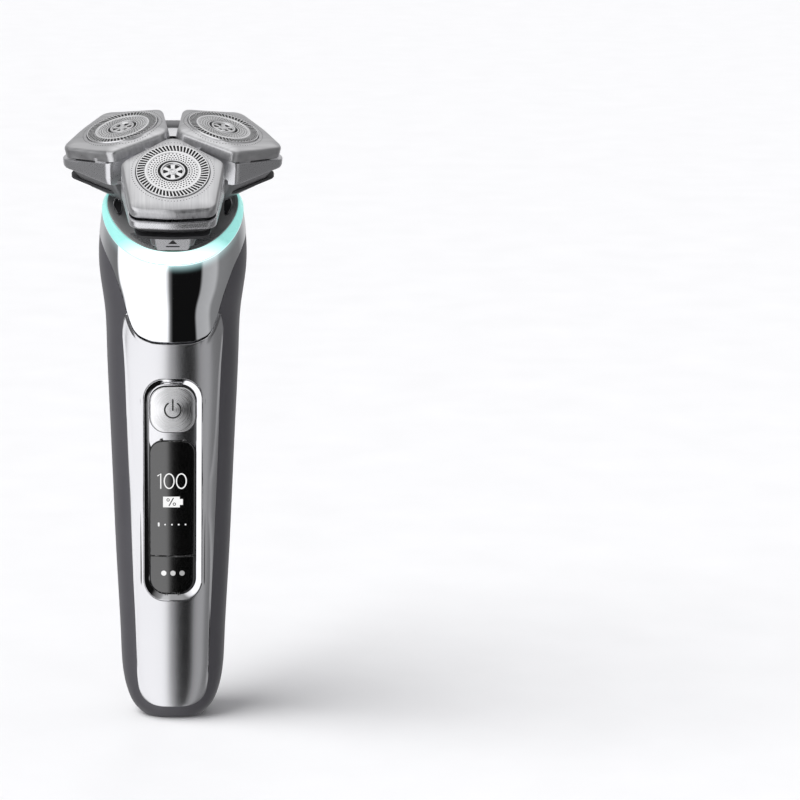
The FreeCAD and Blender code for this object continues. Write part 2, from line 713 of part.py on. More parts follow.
def cup_hollow(side):
    hollow = lobe_loft([(CARRIER_LOW + 1.3, 0.88), (8.0, 0.88)], plan_pose(side))
    for y0 in (12.72, -14.9):
        slot = solid_box(-2.4, 2.4, y0, y0 + 2.18, -7.2, 0)
        hollow = hollow.fuse(placed(slot, lobe_in_unit(side)))
    return hollow


def head_posts(side):
    """Two ears on the carrier that take the trunnions of one head."""
    posts = None
    for sign in (-1, 1):
        y0 = 11.5 if sign > 0 else -12.7
        ear = solid_box(-2.2, 2.2, y0, y0 + 1.2, -10.3, -3.7)
        ear = placed(ear, lobe_in_unit(side))
        posts = ear if posts is None else posts.fuse(ear)
    return posts


def head_plate(side):
    skirt = -val("skirt_depth")
    radius = val("cap_radius") + val("seam_gap")
    plate = lobe_loft([(skirt, 1.0), (-1.9, 1.0), (-0.9, 0.965), (-0.3, 0.89), (0.0, 0.76)],
                      Placement())
    plate = plate.cut(lobe_loft([(skirt - 1, 0.93), (-1.5, 0.89)], Placement()))
    plate = plate.cut(solid_rod(radius, -10, 5))
    for sign in (-1, 1):
        y0 = 12.8 if sign > 0 else -13.8
        tab = solid_box(-2.0, 2.0, y0, y0 + 1.0, -6.6, -1.7)
        start = 11.6 if sign > 0 else -13.0
        boss = Part.makeCylinder(1.0, 1.4, Vector(0, start, PIVOT_N), Vector(0, 1, 0))
        plate = plate.fuse(tab).fuse(boss)
    return plate


def build_heads():
    cap = "cap_radius"
    low = "0.35 - cap_height"
    for side in LOBES:
        pose = lobe_pose(side)
        from_shape("head_plate_" + side, head_plate(side), pose)
        turned("guard_cap_" + side,
               [("0", "0.2"), ("5.6", "0.2"), ("5.8", "-0.3"), ("6.4", "-0.3"), ("6.6", "0.35"),
                (cap + " - 0.3", "0.35"), (cap, "0.1"), (cap, low), (cap + " + 0.8", low),
                (cap + " + 0.8", low + " - 0.7"), (cap + " - 0.5", low + " - 0.7"),
                (cap + " - 0.5", "-0.15"), ("6.6", "-0.15"), ("6.4", "-0.8"), ("5.6", "-0.8"),
                ("5.6", "-0.3"), ("0", "-0.3")], pose)
        rim = cap + " - 0.9"
        body = turned("cutter_" + side,
                      [("0", "-1.6"), ("7.6", "-1.6"), ("7.6", "-0.25"), (rim, "-0.25"),
                       (rim, "-2.4"), ("3.0", "-2.4"), ("2.9", "-6.0"), ("2.2", "-6.0"),
                       ("2.2", "-2.6"), ("0", "-2.6")], pose)
        notch_around(body, [("7.0", "-0.9"), (rim + " + 1", "-0.9"), (rim + " + 1", "0.9"),
                            ("7.0", "0.9")], 9)
        turned("retaining_ring_" + side,
               rectangle(cap + " - 0.4", cap + " + 0.8", low + " - 1.5", low + " - 0.78"), pose)


build_handle()
build_buttons()
build_ring()
build_drive()
build_inlet()
build_screws()
build_trimmer()
build_base()
build_gears()
build_carrier()
build_heads()
doc.recompute()

for node in NODES:
    bad = [flag for flag in node.State if flag in ("Invalid", "Error")]
    if bad or node.Shape.isNull() or not node.Shape.isValid():
        raise RuntimeError("bad shape: " + node.Label)
    node.Shape.exportStep("parts/%s.step" % node.Label)
print(len(NODES), "parts written")
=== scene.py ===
import bmesh
import bpy
import json
import math
import numpy as np
from mathutils import Matrix, Vector
from mathutils.bvhtree import BVHTree


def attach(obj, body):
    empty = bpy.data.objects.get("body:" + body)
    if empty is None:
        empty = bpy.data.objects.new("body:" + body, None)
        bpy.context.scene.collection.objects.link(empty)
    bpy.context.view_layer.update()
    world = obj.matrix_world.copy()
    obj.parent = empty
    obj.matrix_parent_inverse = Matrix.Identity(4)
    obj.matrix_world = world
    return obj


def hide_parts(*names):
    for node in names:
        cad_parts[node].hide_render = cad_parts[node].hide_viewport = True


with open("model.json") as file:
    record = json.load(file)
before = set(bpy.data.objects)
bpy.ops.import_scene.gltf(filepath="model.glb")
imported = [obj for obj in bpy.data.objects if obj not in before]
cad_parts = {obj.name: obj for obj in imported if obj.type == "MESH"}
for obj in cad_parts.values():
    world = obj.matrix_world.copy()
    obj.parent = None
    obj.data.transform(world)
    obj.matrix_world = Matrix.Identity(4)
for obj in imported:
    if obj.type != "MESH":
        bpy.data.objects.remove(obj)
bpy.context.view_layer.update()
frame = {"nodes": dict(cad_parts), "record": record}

# Shapes are in millimetres, each in the frame of the part that carries it; add_piece makes them metres.
MM = 0.001
LEAN = math.radians(22.5)  # the shaving unit's, towards the front
LOBE_TILT = 15.0  # degrees that each head falls away from the unit's axis
PITCH = 16.57  # from the unit's axis to a head's centre
LOBES = {"front": -90.0, "right": 30.0, "left": 150.0}
OVAL = 2.35  # power of the handle's rounded sections; 2 is an ellipse


def spin(degrees, axis):
    """Matrix that turns about an axis through the origin."""
    return Matrix.Rotation(math.radians(degrees), 4, axis)


def shift(x, y, z, unit=1.0):
    """Matrix that moves by (x, y, z) units."""
    return Matrix.Translation(Vector((x, y, z)) * unit)


UNIT = shift(0, -8.0, 169.25, MM) @ Matrix.Rotation(LEAN, 4, "X")


def lobe_matrix(side):
    """Place of a head: its cap's centre is the origin, +Z its axis, +X away from the unit's axis."""
    return UNIT @ spin(LOBES[side], "Z") @ shift(PITCH, 0, 0, MM) @ spin(LOBE_TILT, "Y")


# ---------------------------------------------------------------- materials

def wire(nt, target, inputs):
    """Set a node's inputs, each to a value or to another node's output."""
    for label, value in inputs.items():
        if isinstance(value, bpy.types.NodeSocket):
            nt.links.new(value, target.inputs[label])
        else:
            target.inputs[label].default_value = value


def node(nt, kind, inputs=None, **settings):
    """New shader node; its settings come before its inputs, because they decide which inputs it has."""
    made = nt.nodes.new("ShaderNode" + kind)
    for key, value in settings.items():
        setattr(made, key, value)
    wire(nt, made, inputs or {})
    return made


def calc(nt, operation, *terms):
    return node(nt, "Math", dict(enumerate(terms)), operation=operation).outputs[0]


def shader(name):
    """New material with its node tree and its Principled node."""
    material = bpy.data.materials.new(name)
    material.use_nodes = True
    return material, material.node_tree, material.node_tree.nodes["Principled BSDF"]


def noise_node(nt, stretch, scale, detail=5.0):
    """Noise in the piece's own coordinates."""
    coord = node(nt, "TexCoord").outputs["Object"]
    place = node(nt, "Mapping", {"Vector": coord, "Scale": stretch}).outputs["Vector"]
    return node(nt, "TexNoise", {"Vector": place, "Scale": scale, "Detail": detail}).outputs["Fac"]


def spread(nt, source, low, high, top=0.7, bottom=0.3):
    """Stretch the source's bottom to top over low to high."""
    ends = {"Value": source, "From Min": bottom, "From Max": top, "To Min": low, "To Max": high}
    return node(nt, "MapRange", ends).outputs["Result"]


def two_tone(nt, source, dark, light):
    """Colour that runs from dark to light with the source."""
    return node(nt, "Mix", {0: source, 6: (*dark, 1), 7: (*light, 1)}, data_type="RGBA").outputs[2]


def bump_from(nt, source, strength, depth):
    return node(nt, "Bump", {"Height": source, "Strength": strength, "Distance": depth}).outputs["Normal"]


def finish_material(name, dark, light, metal, rough, scale=900.0, bump=0.15, depth=2e-5, stretch=(1, 1, 1)):
    """Two-tone grain, roughness that wanders, and a fine bump; stretch draws the grain out."""
    material, nt, b = shader(name)
    grain = noise_node(nt, stretch, scale)
    broad = noise_node(nt, (1, 1, 1), 38.0, 3.0)
    both = calc(nt, "MULTIPLY_ADD", grain, 0.55, calc(nt, "MULTIPLY", broad, 0.45))
    wire(nt, b, {"Base Color": two_tone(nt, spread(nt, both, 0.0, 1.0), dark, light),
                 "Roughness": spread(nt, both, *rough), "Metallic": metal})
    if bump:
        wire(nt, b, {"Normal": bump_from(nt, grain, bump, depth)})
    return material


def spun_material(name, dark, light, rings, bump):
    """Concentric turning marks round the piece's own Z axis."""
    material, nt, b = shader(name)
    coord = node(nt, "TexCoord").outputs["Object"]
    flat = node(nt, "VectorMath", {0: coord, 1: (1, 1, 0)}, operation="MULTIPLY").outputs[0]
    radius = node(nt, "VectorMath", {0: flat}, operation="LENGTH").outputs["Value"]
    noise = node(nt, "TexNoise", {"W": radius, "Scale": rings, "Detail": 3.0}, noise_dimensions="1D")
    marks = noise.outputs["Fac"]
    around = node(nt, "Tangent", direction_type="RADIAL", axis="Z").outputs["Tangent"]
    wire(nt, b, {"Base Color": two_tone(nt, spread(nt, marks, 0.0, 1.0), dark, light),
                 "Roughness": spread(nt, marks, 0.22, 0.4), "Metallic": 1.0, "Anisotropic": 0.75,
                 "Tangent": around, "Normal": bump_from(nt, marks, bump, 1e-5)})
    return material


def glow_material(name, edge, core, strength):
    """Lit diffuser: strongest at the front of the ring, cooler towards the back."""
    material, nt, b = shader(name)
    coord = node(nt, "TexCoord").outputs["Object"]
    back = node(nt, "SeparateXYZ", {0: coord}).outputs["Y"]
    front = spread(nt, back, 1.0, 0.0, top=-0.0145, bottom=-0.0215)
    cloud = noise_node(nt, (1, 1, 1), 160.0)
    glow = calc(nt, "MULTIPLY_ADD", cloud, 0.06, front)
    wire(nt, b, {"Emission Color": two_tone(nt, glow, edge, core),
                 "Emission Strength": spread(nt, glow, *strength, 1.0, 0.0),
                 "Base Color": two_tone(nt, cloud, (0.10, 0.24, 0.23), (0.14, 0.3, 0.29)),
                 "Roughness": spread(nt, cloud, 0.2, 0.35)})
    return material


def chrome_painted_spill(name):
    """Chrome with the light ring's spill painted on as a glow along its top edge."""
    material = finish_material(name, (0.80, 0.81, 0.83), (0.84, 0.85, 0.87), 1.0, (0.012, 0.03), 500.0, 0.0)
    nt = material.node_tree
    # The ring's spill is painted light: emission on the chrome, as strong as each point's stored spill value.
    painted_spill = node(nt, "Attribute", attribute_name="painted_ring_spill").outputs["Fac"]
    wire(nt, nt.nodes["Principled BSDF"], {"Emission Color": (0.62, 0.95, 0.97, 1),
                                           "Emission Strength": spread(nt, painted_spill, 0.0, 0.9, 1.0, 0.0)})
    return material


def lit_material(name, level):
    """Printed mark lit from behind."""
    material, nt, b = shader(name)
    cloud = noise_node(nt, (1, 1, 1), 900.0)
    wire(nt, b, {"Emission Color": two_tone(nt, cloud, (level * 0.94,) * 3, (level,) * 3),
                 "Emission Strength": 1.0, "Base Color": (0.02, 0.02, 0.02, 1),
                 "Roughness": spread(nt, cloud, 0.3, 0.4)})
    return material


# dark, light, metallic, roughness range, grain scale, bump strength, bump depth in metres, grain stretch
FINISHES = {
    "satin_silver": ((0.64, 0.64, 0.66), (0.71, 0.71, 0.73), 1.0, (0.2, 0.26), 5200.0, 0.12, 6e-6),
    "dark_shell": ((0.075, 0.073, 0.082), (0.095, 0.093, 0.103), 0.25, (0.36, 0.46), 4200.0, 0.25, 1e-5),
    "black_plastic": ((0.02, 0.02, 0.022), (0.04, 0.04, 0.044), 0.0, (0.4, 0.58), 3000.0, 0.3),
    "collar_plastic": ((0.34, 0.34, 0.345), (0.42, 0.42, 0.425), 0.35, (0.3, 0.4), 3600.0, 0.25, 1e-5),
    "mirror_chrome": ((0.80, 0.81, 0.83), (0.84, 0.85, 0.87), 1.0, (0.015, 0.04), 500.0, 0.0),
    "bezel_chrome": ((0.74, 0.74, 0.76), (0.8, 0.8, 0.82), 1.0, (0.05, 0.1), 900.0, 0.0),
    "display_gloss": ((0.002, 0.002, 0.002), (0.004, 0.004, 0.004), 0.0, (0.1, 0.14), 700.0, 0.0),
    "brushed_plate": ((0.46, 0.46, 0.475), (0.74, 0.74, 0.75), 1.0, (0.24, 0.44), 1700.0, 0.45, 2e-5,
                      (0.02, 1, 0.3)),
    "rim_silver": ((0.62, 0.62, 0.64), (0.70, 0.70, 0.72), 1.0, (0.24, 0.33), 4600.0, 0.12, 6e-6),
    "bridge_silver": ((0.66, 0.66, 0.68), (0.74, 0.74, 0.76), 1.0, (0.16, 0.22), 2400.0, 0.1, 5e-6),
    "base_grey": ((0.15, 0.15, 0.155), (0.19, 0.19, 0.195), 0.4, (0.3, 0.4), 4200.0, 0.2, 1e-5),
    "board_green": ((0.01, 0.09, 0.04), (0.02, 0.16, 0.07), 0.0, (0.3, 0.45)),
    "cell_wrap": ((0.03, 0.1, 0.36), (0.05, 0.14, 0.44), 0.0, (0.25, 0.35)),
    "motor_steel": ((0.4, 0.4, 0.42), (0.56, 0.56, 0.58), 1.0, (0.25, 0.4), 1500.0, 0.15, 2e-5, (1, 1, 0.05)),
    "pin_brass": ((0.62, 0.45, 0.18), (0.8, 0.6, 0.28), 1.0, (0.18, 0.3)),
    "screw_steel": ((0.25, 0.25, 0.27), (0.38, 0.38, 0.4), 1.0, (0.25, 0.4)),
    "seal_rubber": ((0.012, 0.012, 0.012), (0.03, 0.03, 0.03), 0.0, (0.6, 0.8), 900.0, 0.5, 5e-5),
    "white_nylon": ((0.68, 0.68, 0.65), (0.8, 0.8, 0.77), 0.0, (0.4, 0.55)),
    # Near-black painted shade, laid as sheets and pits in gaps, recesses and grooves where shade falls.
    "painted_shade_black": ((0.004, 0.004, 0.004), (0.012, 0.012, 0.012), 0.0, (0.6, 0.8)),
    "ink_grey": ((0.008, 0.008, 0.008), (0.018, 0.018, 0.018), 0.0, (0.5, 0.6)),
}
MATS = {name: finish_material(name, *values) for name, values in FINISHES.items()}
MATS["display_gloss"].node_tree.nodes["Principled BSDF"].inputs["IOR"].default_value = 2.0
MATS["spun_steel"] = spun_material("spun_steel", (0.76, 0.76, 0.77), (0.88, 0.88, 0.89), 5200.0, 0.08)
MATS["blade_steel"] = spun_material("blade_steel", (0.74, 0.74, 0.75), (0.88, 0.88, 0.89), 3600.0, 0.04)
MATS["ring_glow"] = glow_material("ring_glow", (0.33, 0.79, 0.74), (0.93, 1.0, 1.0), (0.74, 1.9))
MATS["chrome_painted_spill"] = chrome_painted_spill("chrome_painted_spill")
for name, level in (("icon_white", 0.95), ("icon_mid", 0.62), ("icon_low", 0.38)):
    MATS[name] = lit_material(name, level)
for subpart in frame["record"]["subparts"]:
    for slot in frame["nodes"][subpart["node"]].material_slots:
        slot.material = MATS[subpart["material_slot"]]


# ---------------------------------------------------------------- mesh helpers

def add_piece(name, verts, faces, body, slot, matrix=None, material=None, angle=32.0, closed=False):
    """Object from points in mm; closed turns its faces outwards, material overrides the slot's own."""
    mesh = bpy.data.meshes.new(name)
    mesh.from_pydata([tuple(float(c) * MM for c in v) for v in verts], [], faces)
    mesh.validate()
    if closed:
        work = bmesh.new()
        work.from_mesh(mesh)
        bmesh.ops.recalc_face_normals(work, faces=work.faces)
        work.to_mesh(mesh)
        work.free()
    mesh.polygons.foreach_set("use_smooth", [True] * len(mesh.polygons))
    mesh.set_sharp_from_angle(angle=math.radians(angle))
    mesh.materials.append(MATS[material or slot])
    obj = bpy.data.objects.new(name, mesh)
    bpy.context.scene.collection.objects.link(obj)
    if matrix is not None:
        obj.matrix_world = matrix
    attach(obj, body)
    return obj


def grid_faces(rows, cols, wrap_cols=True, wrap_rows=False, start=0, flip=False):
    """Quads of a grid of points stored row by row."""
    faces = []
    last_row = rows if wrap_rows else rows - 1
    last_col = cols if wrap_cols else cols - 1
    for i in range(last_row):
        for j in range(last_col):
            a = start + i * cols + j
            b = start + i * cols + (j + 1) % cols
            c = start + ((i + 1) % rows) * cols + (j + 1) % cols
            d = start + ((i + 1) % rows) * cols + j
            faces.append((d, c, b, a) if flip else (a, b, c, d))
    return faces


def quilt(rows, **wrap):
    """Points and faces of a sheet made of equal rows of points."""
    return [p for row in rows for p in row], grid_faces(len(rows), len(rows[0]), **wrap)


def capped(rows):
    """A quilt of rings, closed by a flat face at each end."""
    verts, faces = quilt(rows, flip=True)
    n = len(rows[0])
    faces.append(tuple(range(len(verts) - 1, len(verts) - n - 1, -1)))
    faces.append(tuple(range(n)))
    return verts, faces


def lathe(profile, count=96, closed=True):
    """Rings from (radius, height) pairs; a zero radius becomes one pole point."""
    verts = []
    rows = []
    for r, z in profile:
        if r < 1e-6:
            rows.append([len(verts)])
            verts.append((0, 0, z))
            continue
        rows.append(list(range(len(verts), len(verts) + count)))
        for k in range(count):
            a = 2 * math.pi * k / count
            verts.append((r * math.cos(a), r * math.sin(a), z))
    faces = []
    pairs = list(zip(rows, rows[1:]))
    if closed:
        pairs.append((rows[-1], rows[0]))
    for low, high in pairs:
        if len(low) == 1 and len(high) == 1:
            continue
        for k in range(count):
            n = (k + 1) % count
            if len(low) == 1:
                faces.append((low[0], high[n], high[k]))
            elif len(high) == 1:
                faces.append((low[k], low[n], high[0]))
            else:
                faces.append((low[k], low[n], high[n], high[k]))
    return verts, faces


def join(parts):
    """One (points, faces) pair from several."""
    verts = []
    faces = []
    for v, f in parts:
        base = len(verts)
        verts.extend(v)
        faces.extend(tuple(i + base for i in face) for face in f)
    return verts, faces


def prism(outline, z0, z1):
    """Upright prism over a flat outline of (x, y)."""
    n = len(outline)
    verts = [(x, y, z0) for x, y in outline] + [(x, y, z1) for x, y in outline]
    faces = [tuple(range(n - 1, -1, -1)), tuple(range(n, 2 * n))]
    for k in range(n):
        m = (k + 1) % n
        faces.append((k, m, m + n, k + n))
    return verts, faces


def moved(part, matrix):
    verts, faces = part
    return [tuple(matrix @ Vector(v)) for v in verts], faces


def soften(obj, width, segments=3, angle=30.0):
    """Round the sharp edges; width in mm."""
    mod = obj.modifiers.new("soft_edges", "BEVEL")
    mod.width = width * MM
    mod.segments = segments
    mod.limit_method = "ANGLE"
    mod.angle_limit = math.radians(angle)
    mod.harden_normals = True
    return obj


def thicken(obj, thick):
    """Give a sheet its thickness, inwards."""
    mod = obj.modifiers.new("thickness", "SOLIDIFY")
    mod.thickness = thick * MM
    mod.offset = -1.0
    return obj


def carve(obj, cutter_parts, name):
    """Cut closed shapes out of a piece; the cutters are removed again."""
    for index, (verts, faces) in enumerate(cutter_parts):
        mesh = bpy.data.meshes.new(name + "_cut")
        mesh.from_pydata([tuple(c * MM for c in v) for v in verts], [], faces)
        cutter = bpy.data.objects.new(name + "_cut", mesh)
        bpy.context.scene.collection.objects.link(cutter)
        mod = obj.modifiers.new("cut%d" % index, "BOOLEAN")
        mod.solver = "EXACT"
        mod.operation = "DIFFERENCE"
        mod.object = cutter
        bpy.context.view_layer.update()
        graph = bpy.context.evaluated_depsgraph_get()
        done = bpy.data.meshes.new_from_object(obj.evaluated_get(graph))
        obj.modifiers.clear()
        obj.data = done
        bpy.data.objects.remove(cutter)
    obj.data.set_sharp_from_angle(angle=math.radians(32))
    return obj


def block(x0, x1, y0, y1, z0, z1):
    return prism([(x0, y0), (x1, y0), (x1, y1), (x0, y1)], z0, z1)


# ---------------------------------------------------------------- handle surface

# height, centre y, half width, half depth, tilt of each section
SECTIONS = np.array([
    (0.0, 0.0, 9.0, 7.0, 0.0), (3.0, 0.1, 11.7, 9.4, 0.0), (5.94, 0.2, 13.1, 10.8, 0.0),
    (12.0, 0.4, 14.6, 12.4, 0.0), (22.0, 0.6, 15.3, 13.4, 0.0), (46.0, 0.95, 16.5, 14.35, 0.0),
    (70.0, 1.0, 17.5, 15.0, 0.0), (94.0, 0.95, 18.5, 15.7, 0.0), (110.0, 1.1, 19.1, 16.6, 1.0),
    (121.0, 1.4, 19.67, 18.19, 4.0), (132.0, 1.2, 21.2, 19.5, 12.0), (145.69, 0.458, 20.2, 19.0, 22.5)])


def natural_spline(t, y):
    """Second derivatives of the natural cubic spline, solved once per column."""
    n = len(t)
    h = np.diff(t)
    a = np.zeros((n, n))
    r = np.zeros((n, y.shape[1]))
    a[0, 0] = a[-1, -1] = 1
    for i in range(1, n - 1):
        a[i, i - 1] = h[i - 1]
        a[i, i] = 2 * (h[i - 1] + h[i])
        a[i, i + 1] = h[i]
        r[i] = 6 * ((y[i + 1] - y[i]) / h[i] - (y[i] - y[i - 1]) / h[i - 1])
    return np.linalg.solve(a, r)


KNOTS = np.concatenate([[0], np.cumsum(np.hypot(np.diff(SECTIONS[:, 0]), np.diff(SECTIONS[:, 2])))])
BEND = natural_spline(KNOTS, SECTIONS)
TOP = KNOTS[-1]


def section_at(t):
    """Height, centre, half width, half depth and tilt at a place along the spline."""
    i = int(np.clip(np.searchsorted(KNOTS, t) - 1, 0, len(KNOTS) - 2))
    h = KNOTS[i + 1] - KNOTS[i]
    a = (KNOTS[i + 1] - t) / h
    b = (t - KNOTS[i]) / h
    return (a * SECTIONS[i] + b * SECTIONS[i + 1]
            + ((a ** 3 - a) * BEND[i] + (b ** 3 - b) * BEND[i + 1]) * h * h / 6)


def rim_shift(share):
    """Rise of the shoulder's rim: up at the sides, dipping at the front; share runs -1 (front) to 1."""
    share = np.asarray(share, float)
    return np.where(share < 0, 3.4 - 6.2 * share ** 2, 3.4 - 1.6 * share ** 2)


def handle_ring(t, angles, inset=0.0, power=OVAL):
    z, yc, hw, hd, tilt = section_at(t)
    c = np.cos(angles)
    s = np.sin(angles)
    share = np.sign(s) * np.abs(s) ** (2 / power)
    x = np.sign(c) * np.abs(c) ** (2 / power) * (hw - inset)
    y = share * (hd - inset)
    k = math.radians(tilt)
    near = np.clip((z - 112.0) / 33.7, 0, 1)
    lift = rim_shift(share) * near * near * (3 - 2 * near)
    return np.stack([x, yc + y * math.cos(k), z + y * math.sin(k) + lift], 1)


def even_angles(count):
    """Angles that space the points evenly round the oval."""
    fine = np.linspace(0, 2 * math.pi, 4001)
    ring = handle_ring(KNOTS[7], fine)
    step = np.concatenate([[0], np.cumsum(np.linalg.norm(np.diff(ring, axis=0), axis=1))])
    return np.interp(np.linspace(0, step[-1], count, endpoint=False), step, fine)


AROUND = even_angles(240)
LEVELS = np.linspace(0, TOP, 280)
dense = np.concatenate([handle_ring(t, AROUND) for t in LEVELS])
SKIN = BVHTree.FromPolygons([Vector(p) for p in dense], grid_faces(len(LEVELS), len(AROUND)))


def front_y(x, z):
    """Where the handle's front surface lies; every place asked for is on it."""
    return SKIN.ray_cast(Vector((x, -90.0, z)), Vector((0, 1, 0)))[0].y


def curve_points(spots, per=14):
    """Catmull-Rom line through the spots."""
    pts = [np.array(p, float) for p in spots]
    pts = [2 * pts[0] - pts[1]] + pts + [2 * pts[-1] - pts[-2]]
    out = []
    for i in range(1, len(pts) - 2):
        p0, p1, p2, p3 = pts[i - 1:i + 3]
        for k in range(per):
            u = k / per
            out.append(0.5 * (2 * p1 + (p2 - p0) * u + (2 * p0 - 5 * p1 + 4 * p2 - p3) * u * u
                              + (3 * p1 - p0 - 3 * p2 + p3) * u ** 3))
    out.append(pts[-2])
    return np.array(out)


def resample(points, count):
    """The same line with count evenly spaced points."""
    points = np.asarray(points, float)
    step = np.concatenate([[0], np.cumsum(np.linalg.norm(np.diff(points, axis=0), axis=1))])
    want = np.linspace(0, step[-1], count)
    return np.stack([np.interp(want, step, points[:, k]) for k in range(points.shape[1])], 1)


def slot_outline(half, z0, z1, corner, count):
    """Rounded upright slot, clockwise from its top centre; (x, z)."""
    pts = [(0, z1)]
    for cx, cz, a0 in ((half - corner, z1 - corner, 90), (half - corner, z0 + corner, 0),
                       (-half + corner, z0 + corner, -90), (-half + corner, z1 - corner, 180)):
        for k in range(13):
            a = math.radians(a0 - 90 * k / 12)
            pts.append((cx + corner * math.cos(a), cz + corner * math.sin(a)))
    pts.append((0, z1))
    return resample(pts, count + 1)[:-1]


def front_patch(name, outer, inner, body, slot, lift, steps=22, thick=1.0, material=None):
    """Sheet between two matching outlines laid on the handle's front; lift(d, span) in mm outward."""
    ease = 0.5 - 0.5 * np.cos(np.linspace(0, math.pi, steps))
    rows = []
    span = np.linalg.norm(outer - inner, axis=1)
    for e in ease:
        row = []
        flat = outer * (1 - e) + inner * e
        for (x, z), size in zip(flat, span):
            y = front_y(x, z)
            row.append((x, y - lift(e * size, (1 - e) * size, x, z), z))
        rows.append(row)
    obj = add_piece(name, *quilt(rows, flip=True), body, slot, material=material)
    return thicken(obj, thick)


def edge_round(distance, radius):
    """Drop of a rounded edge at a distance in from it."""
    if distance >= radius:
        return 0.0
    return radius - math.sqrt(max(radius * radius - (radius - distance) ** 2, 0.0))


# ---------------------------------------------------------------- handle pieces

SHIELD_EDGE = np.array([(0, 112.8), (3.5, 112.9), (6.5, 113.3), (10, 115.0), (12, 118.5), (14.3, 126.5),
                        (17.2, 134.0), (20.6, 141.0), (23.5, 152.0)])
SHIELD_LINE = curve_points(SHIELD_EDGE)
PANEL_SIDE = curve_points([(12.95, 121.6), (13.75, 120.2), (14.2, 118.0), (14.35, 115.0), (13.7, 104.0),
                           (13.0, 82.0), (12.25, 62.6), (11.6, 46.0), (10.9, 31.0), (10.5, 18.5),
                           (10.3, 12.5), (9.6, 8.2), (7.6, 5.4), (4.4, 4.1), (0.0, 3.9)])


def shield_z(x):
    """Height of the shield's lower edge."""
    return float(np.interp(abs(x), SHIELD_LINE[:, 0], SHIELD_LINE[:, 1]))


def build_shell():
    """Rear cover: hollow shell with a sunk bed under the front pieces, cut for bay, inlet and screws."""
    rows = []
    panel_x = lambda z: float(np.interp(-z, -PANEL_SIDE[:, 1], PANEL_SIDE[:, 0]))
    for t in LEVELS:
        ring = handle_ring(t, AROUND, 0.1)
        deep = handle_ring(t, AROUND, 1.5)
        for k, (x, y, z) in enumerate(ring):
            if y > 1.0 or z < 4.6:
                continue
            in_panel = z < 124 and abs(x) < panel_x(z) - 0.5 and z > 4.6
            in_shield = z > shield_z(x) + 0.5
            if in_panel or in_shield:
                ring[k] = deep[k]
        rows.append(ring)
    outer = np.concatenate(rows)
    inner_levels = np.linspace(KNOTS[1] * 0.7, TOP, 60)
    inner = np.concatenate([handle_ring(t, AROUND, 2.0) for t in inner_levels])
    n = len(AROUND)
    verts = list(map(tuple, outer)) + list(map(tuple, inner))
    faces = grid_faces(len(LEVELS), n)
    base = len(outer)
    faces += grid_faces(len(inner_levels), n, start=base, flip=True)
    top_o = (len(LEVELS) - 1) * n
    top_i = base + (len(inner_levels) - 1) * n
    for k in range(n):
        m = (k + 1) % n
        faces.append((top_o + k, top_o + m, top_i + m, top_i + k))
    faces.append(tuple(range(n - 1, -1, -1)))
    faces.append(tuple(base + k for k in range(n)))
    shell = add_piece("rear_cover_skin", verts, faces, "handle", "dark_shell", closed=True)
    bay = block(-11.5, 11.5, 8.0, 40, 90.8, 119.2)
    catch = block(-6.1, 6.1, 10.0, 40, 73.9, 84.2)
    mouth = prism([(5.4 * a, 3.2 * b) for a, b in ((-1, -1), (1, -1), (1, 1), (-1, 1))], -1, 6)
    screws = []
    for z in (20.0, 62.0):
        rod = lathe([(0, 0), (2.5, 0), (2.5, 20), (0, 20)], 48, False)
        screws.append(moved(rod, shift(0, 9, z) @ spin(-90, "X")))
    carve(shell, [bay, catch, mouth] + screws, "shell")
    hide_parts("rear_cover")
    tray = join([block(-12.4, 12.4, 9.9, 11.7, 89.7, 120.3), block(-12.4, -11.5, 11.7, 13.6, 89.7, 120.3),
                 block(11.5, 12.4, 11.7, 13.6, 89.7, 120.3), block(-11.5, 11.5, 11.7, 14.4, 119.2, 120.3),
                 block(-11.5, 11.5, 11.7, 14.4, 89.7, 90.8)])
    add_piece("trimmer_bay", *tray, "handle", "dark_shell", material="black_plastic", closed=True)


def build_panel():
    """Satin front panel round the control slot, with raised flanks; upper edge fits the shield."""
    count = 90
    horn = SHIELD_LINE[SHIELD_LINE[:, 1] < 121.7]
    upper = resample(horn + np.array([0.0, -0.12]), count)
    lower = resample(PANEL_SIDE, count * 2)
    right_outer = np.concatenate([upper, lower[1:]])
    slot = slot_outline(8.42, 36.9, 102.6, 6.1, 720)
    half = slot[:361]
    split = int(np.argmin(np.abs(half[:, 1] - 95.5) + (half[:, 0] < 8.3) * 50))
    right_inner = np.concatenate([resample(half[:split + 1], count), resample(half[split:], count * 2)[1:]])
    outer = np.concatenate([right_outer, right_outer[-2:0:-1] * np.array([-1, 1])])
    inner = np.concatenate([right_inner, right_inner[-2:0:-1] * np.array([-1, 1])])

    def lift(from_edge, from_slot, x, z):
        wide = min(2.7, 0.5 * (from_edge + from_slot))
        side = min(1.0, max(0.0, (x * x - 60.0) / 40.0)) if z < 121 else 0.0
        rim = 0.08 * wide * side * max(0.0, 1 - from_edge / wide)
        return rim - edge_round(from_edge, 0.3) - edge_round(from_slot, 0.2)

    panel = front_patch("front_panel_skin", outer, inner, "handle", "satin_silver", lift, 26, 0.9)
    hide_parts("front_panel")


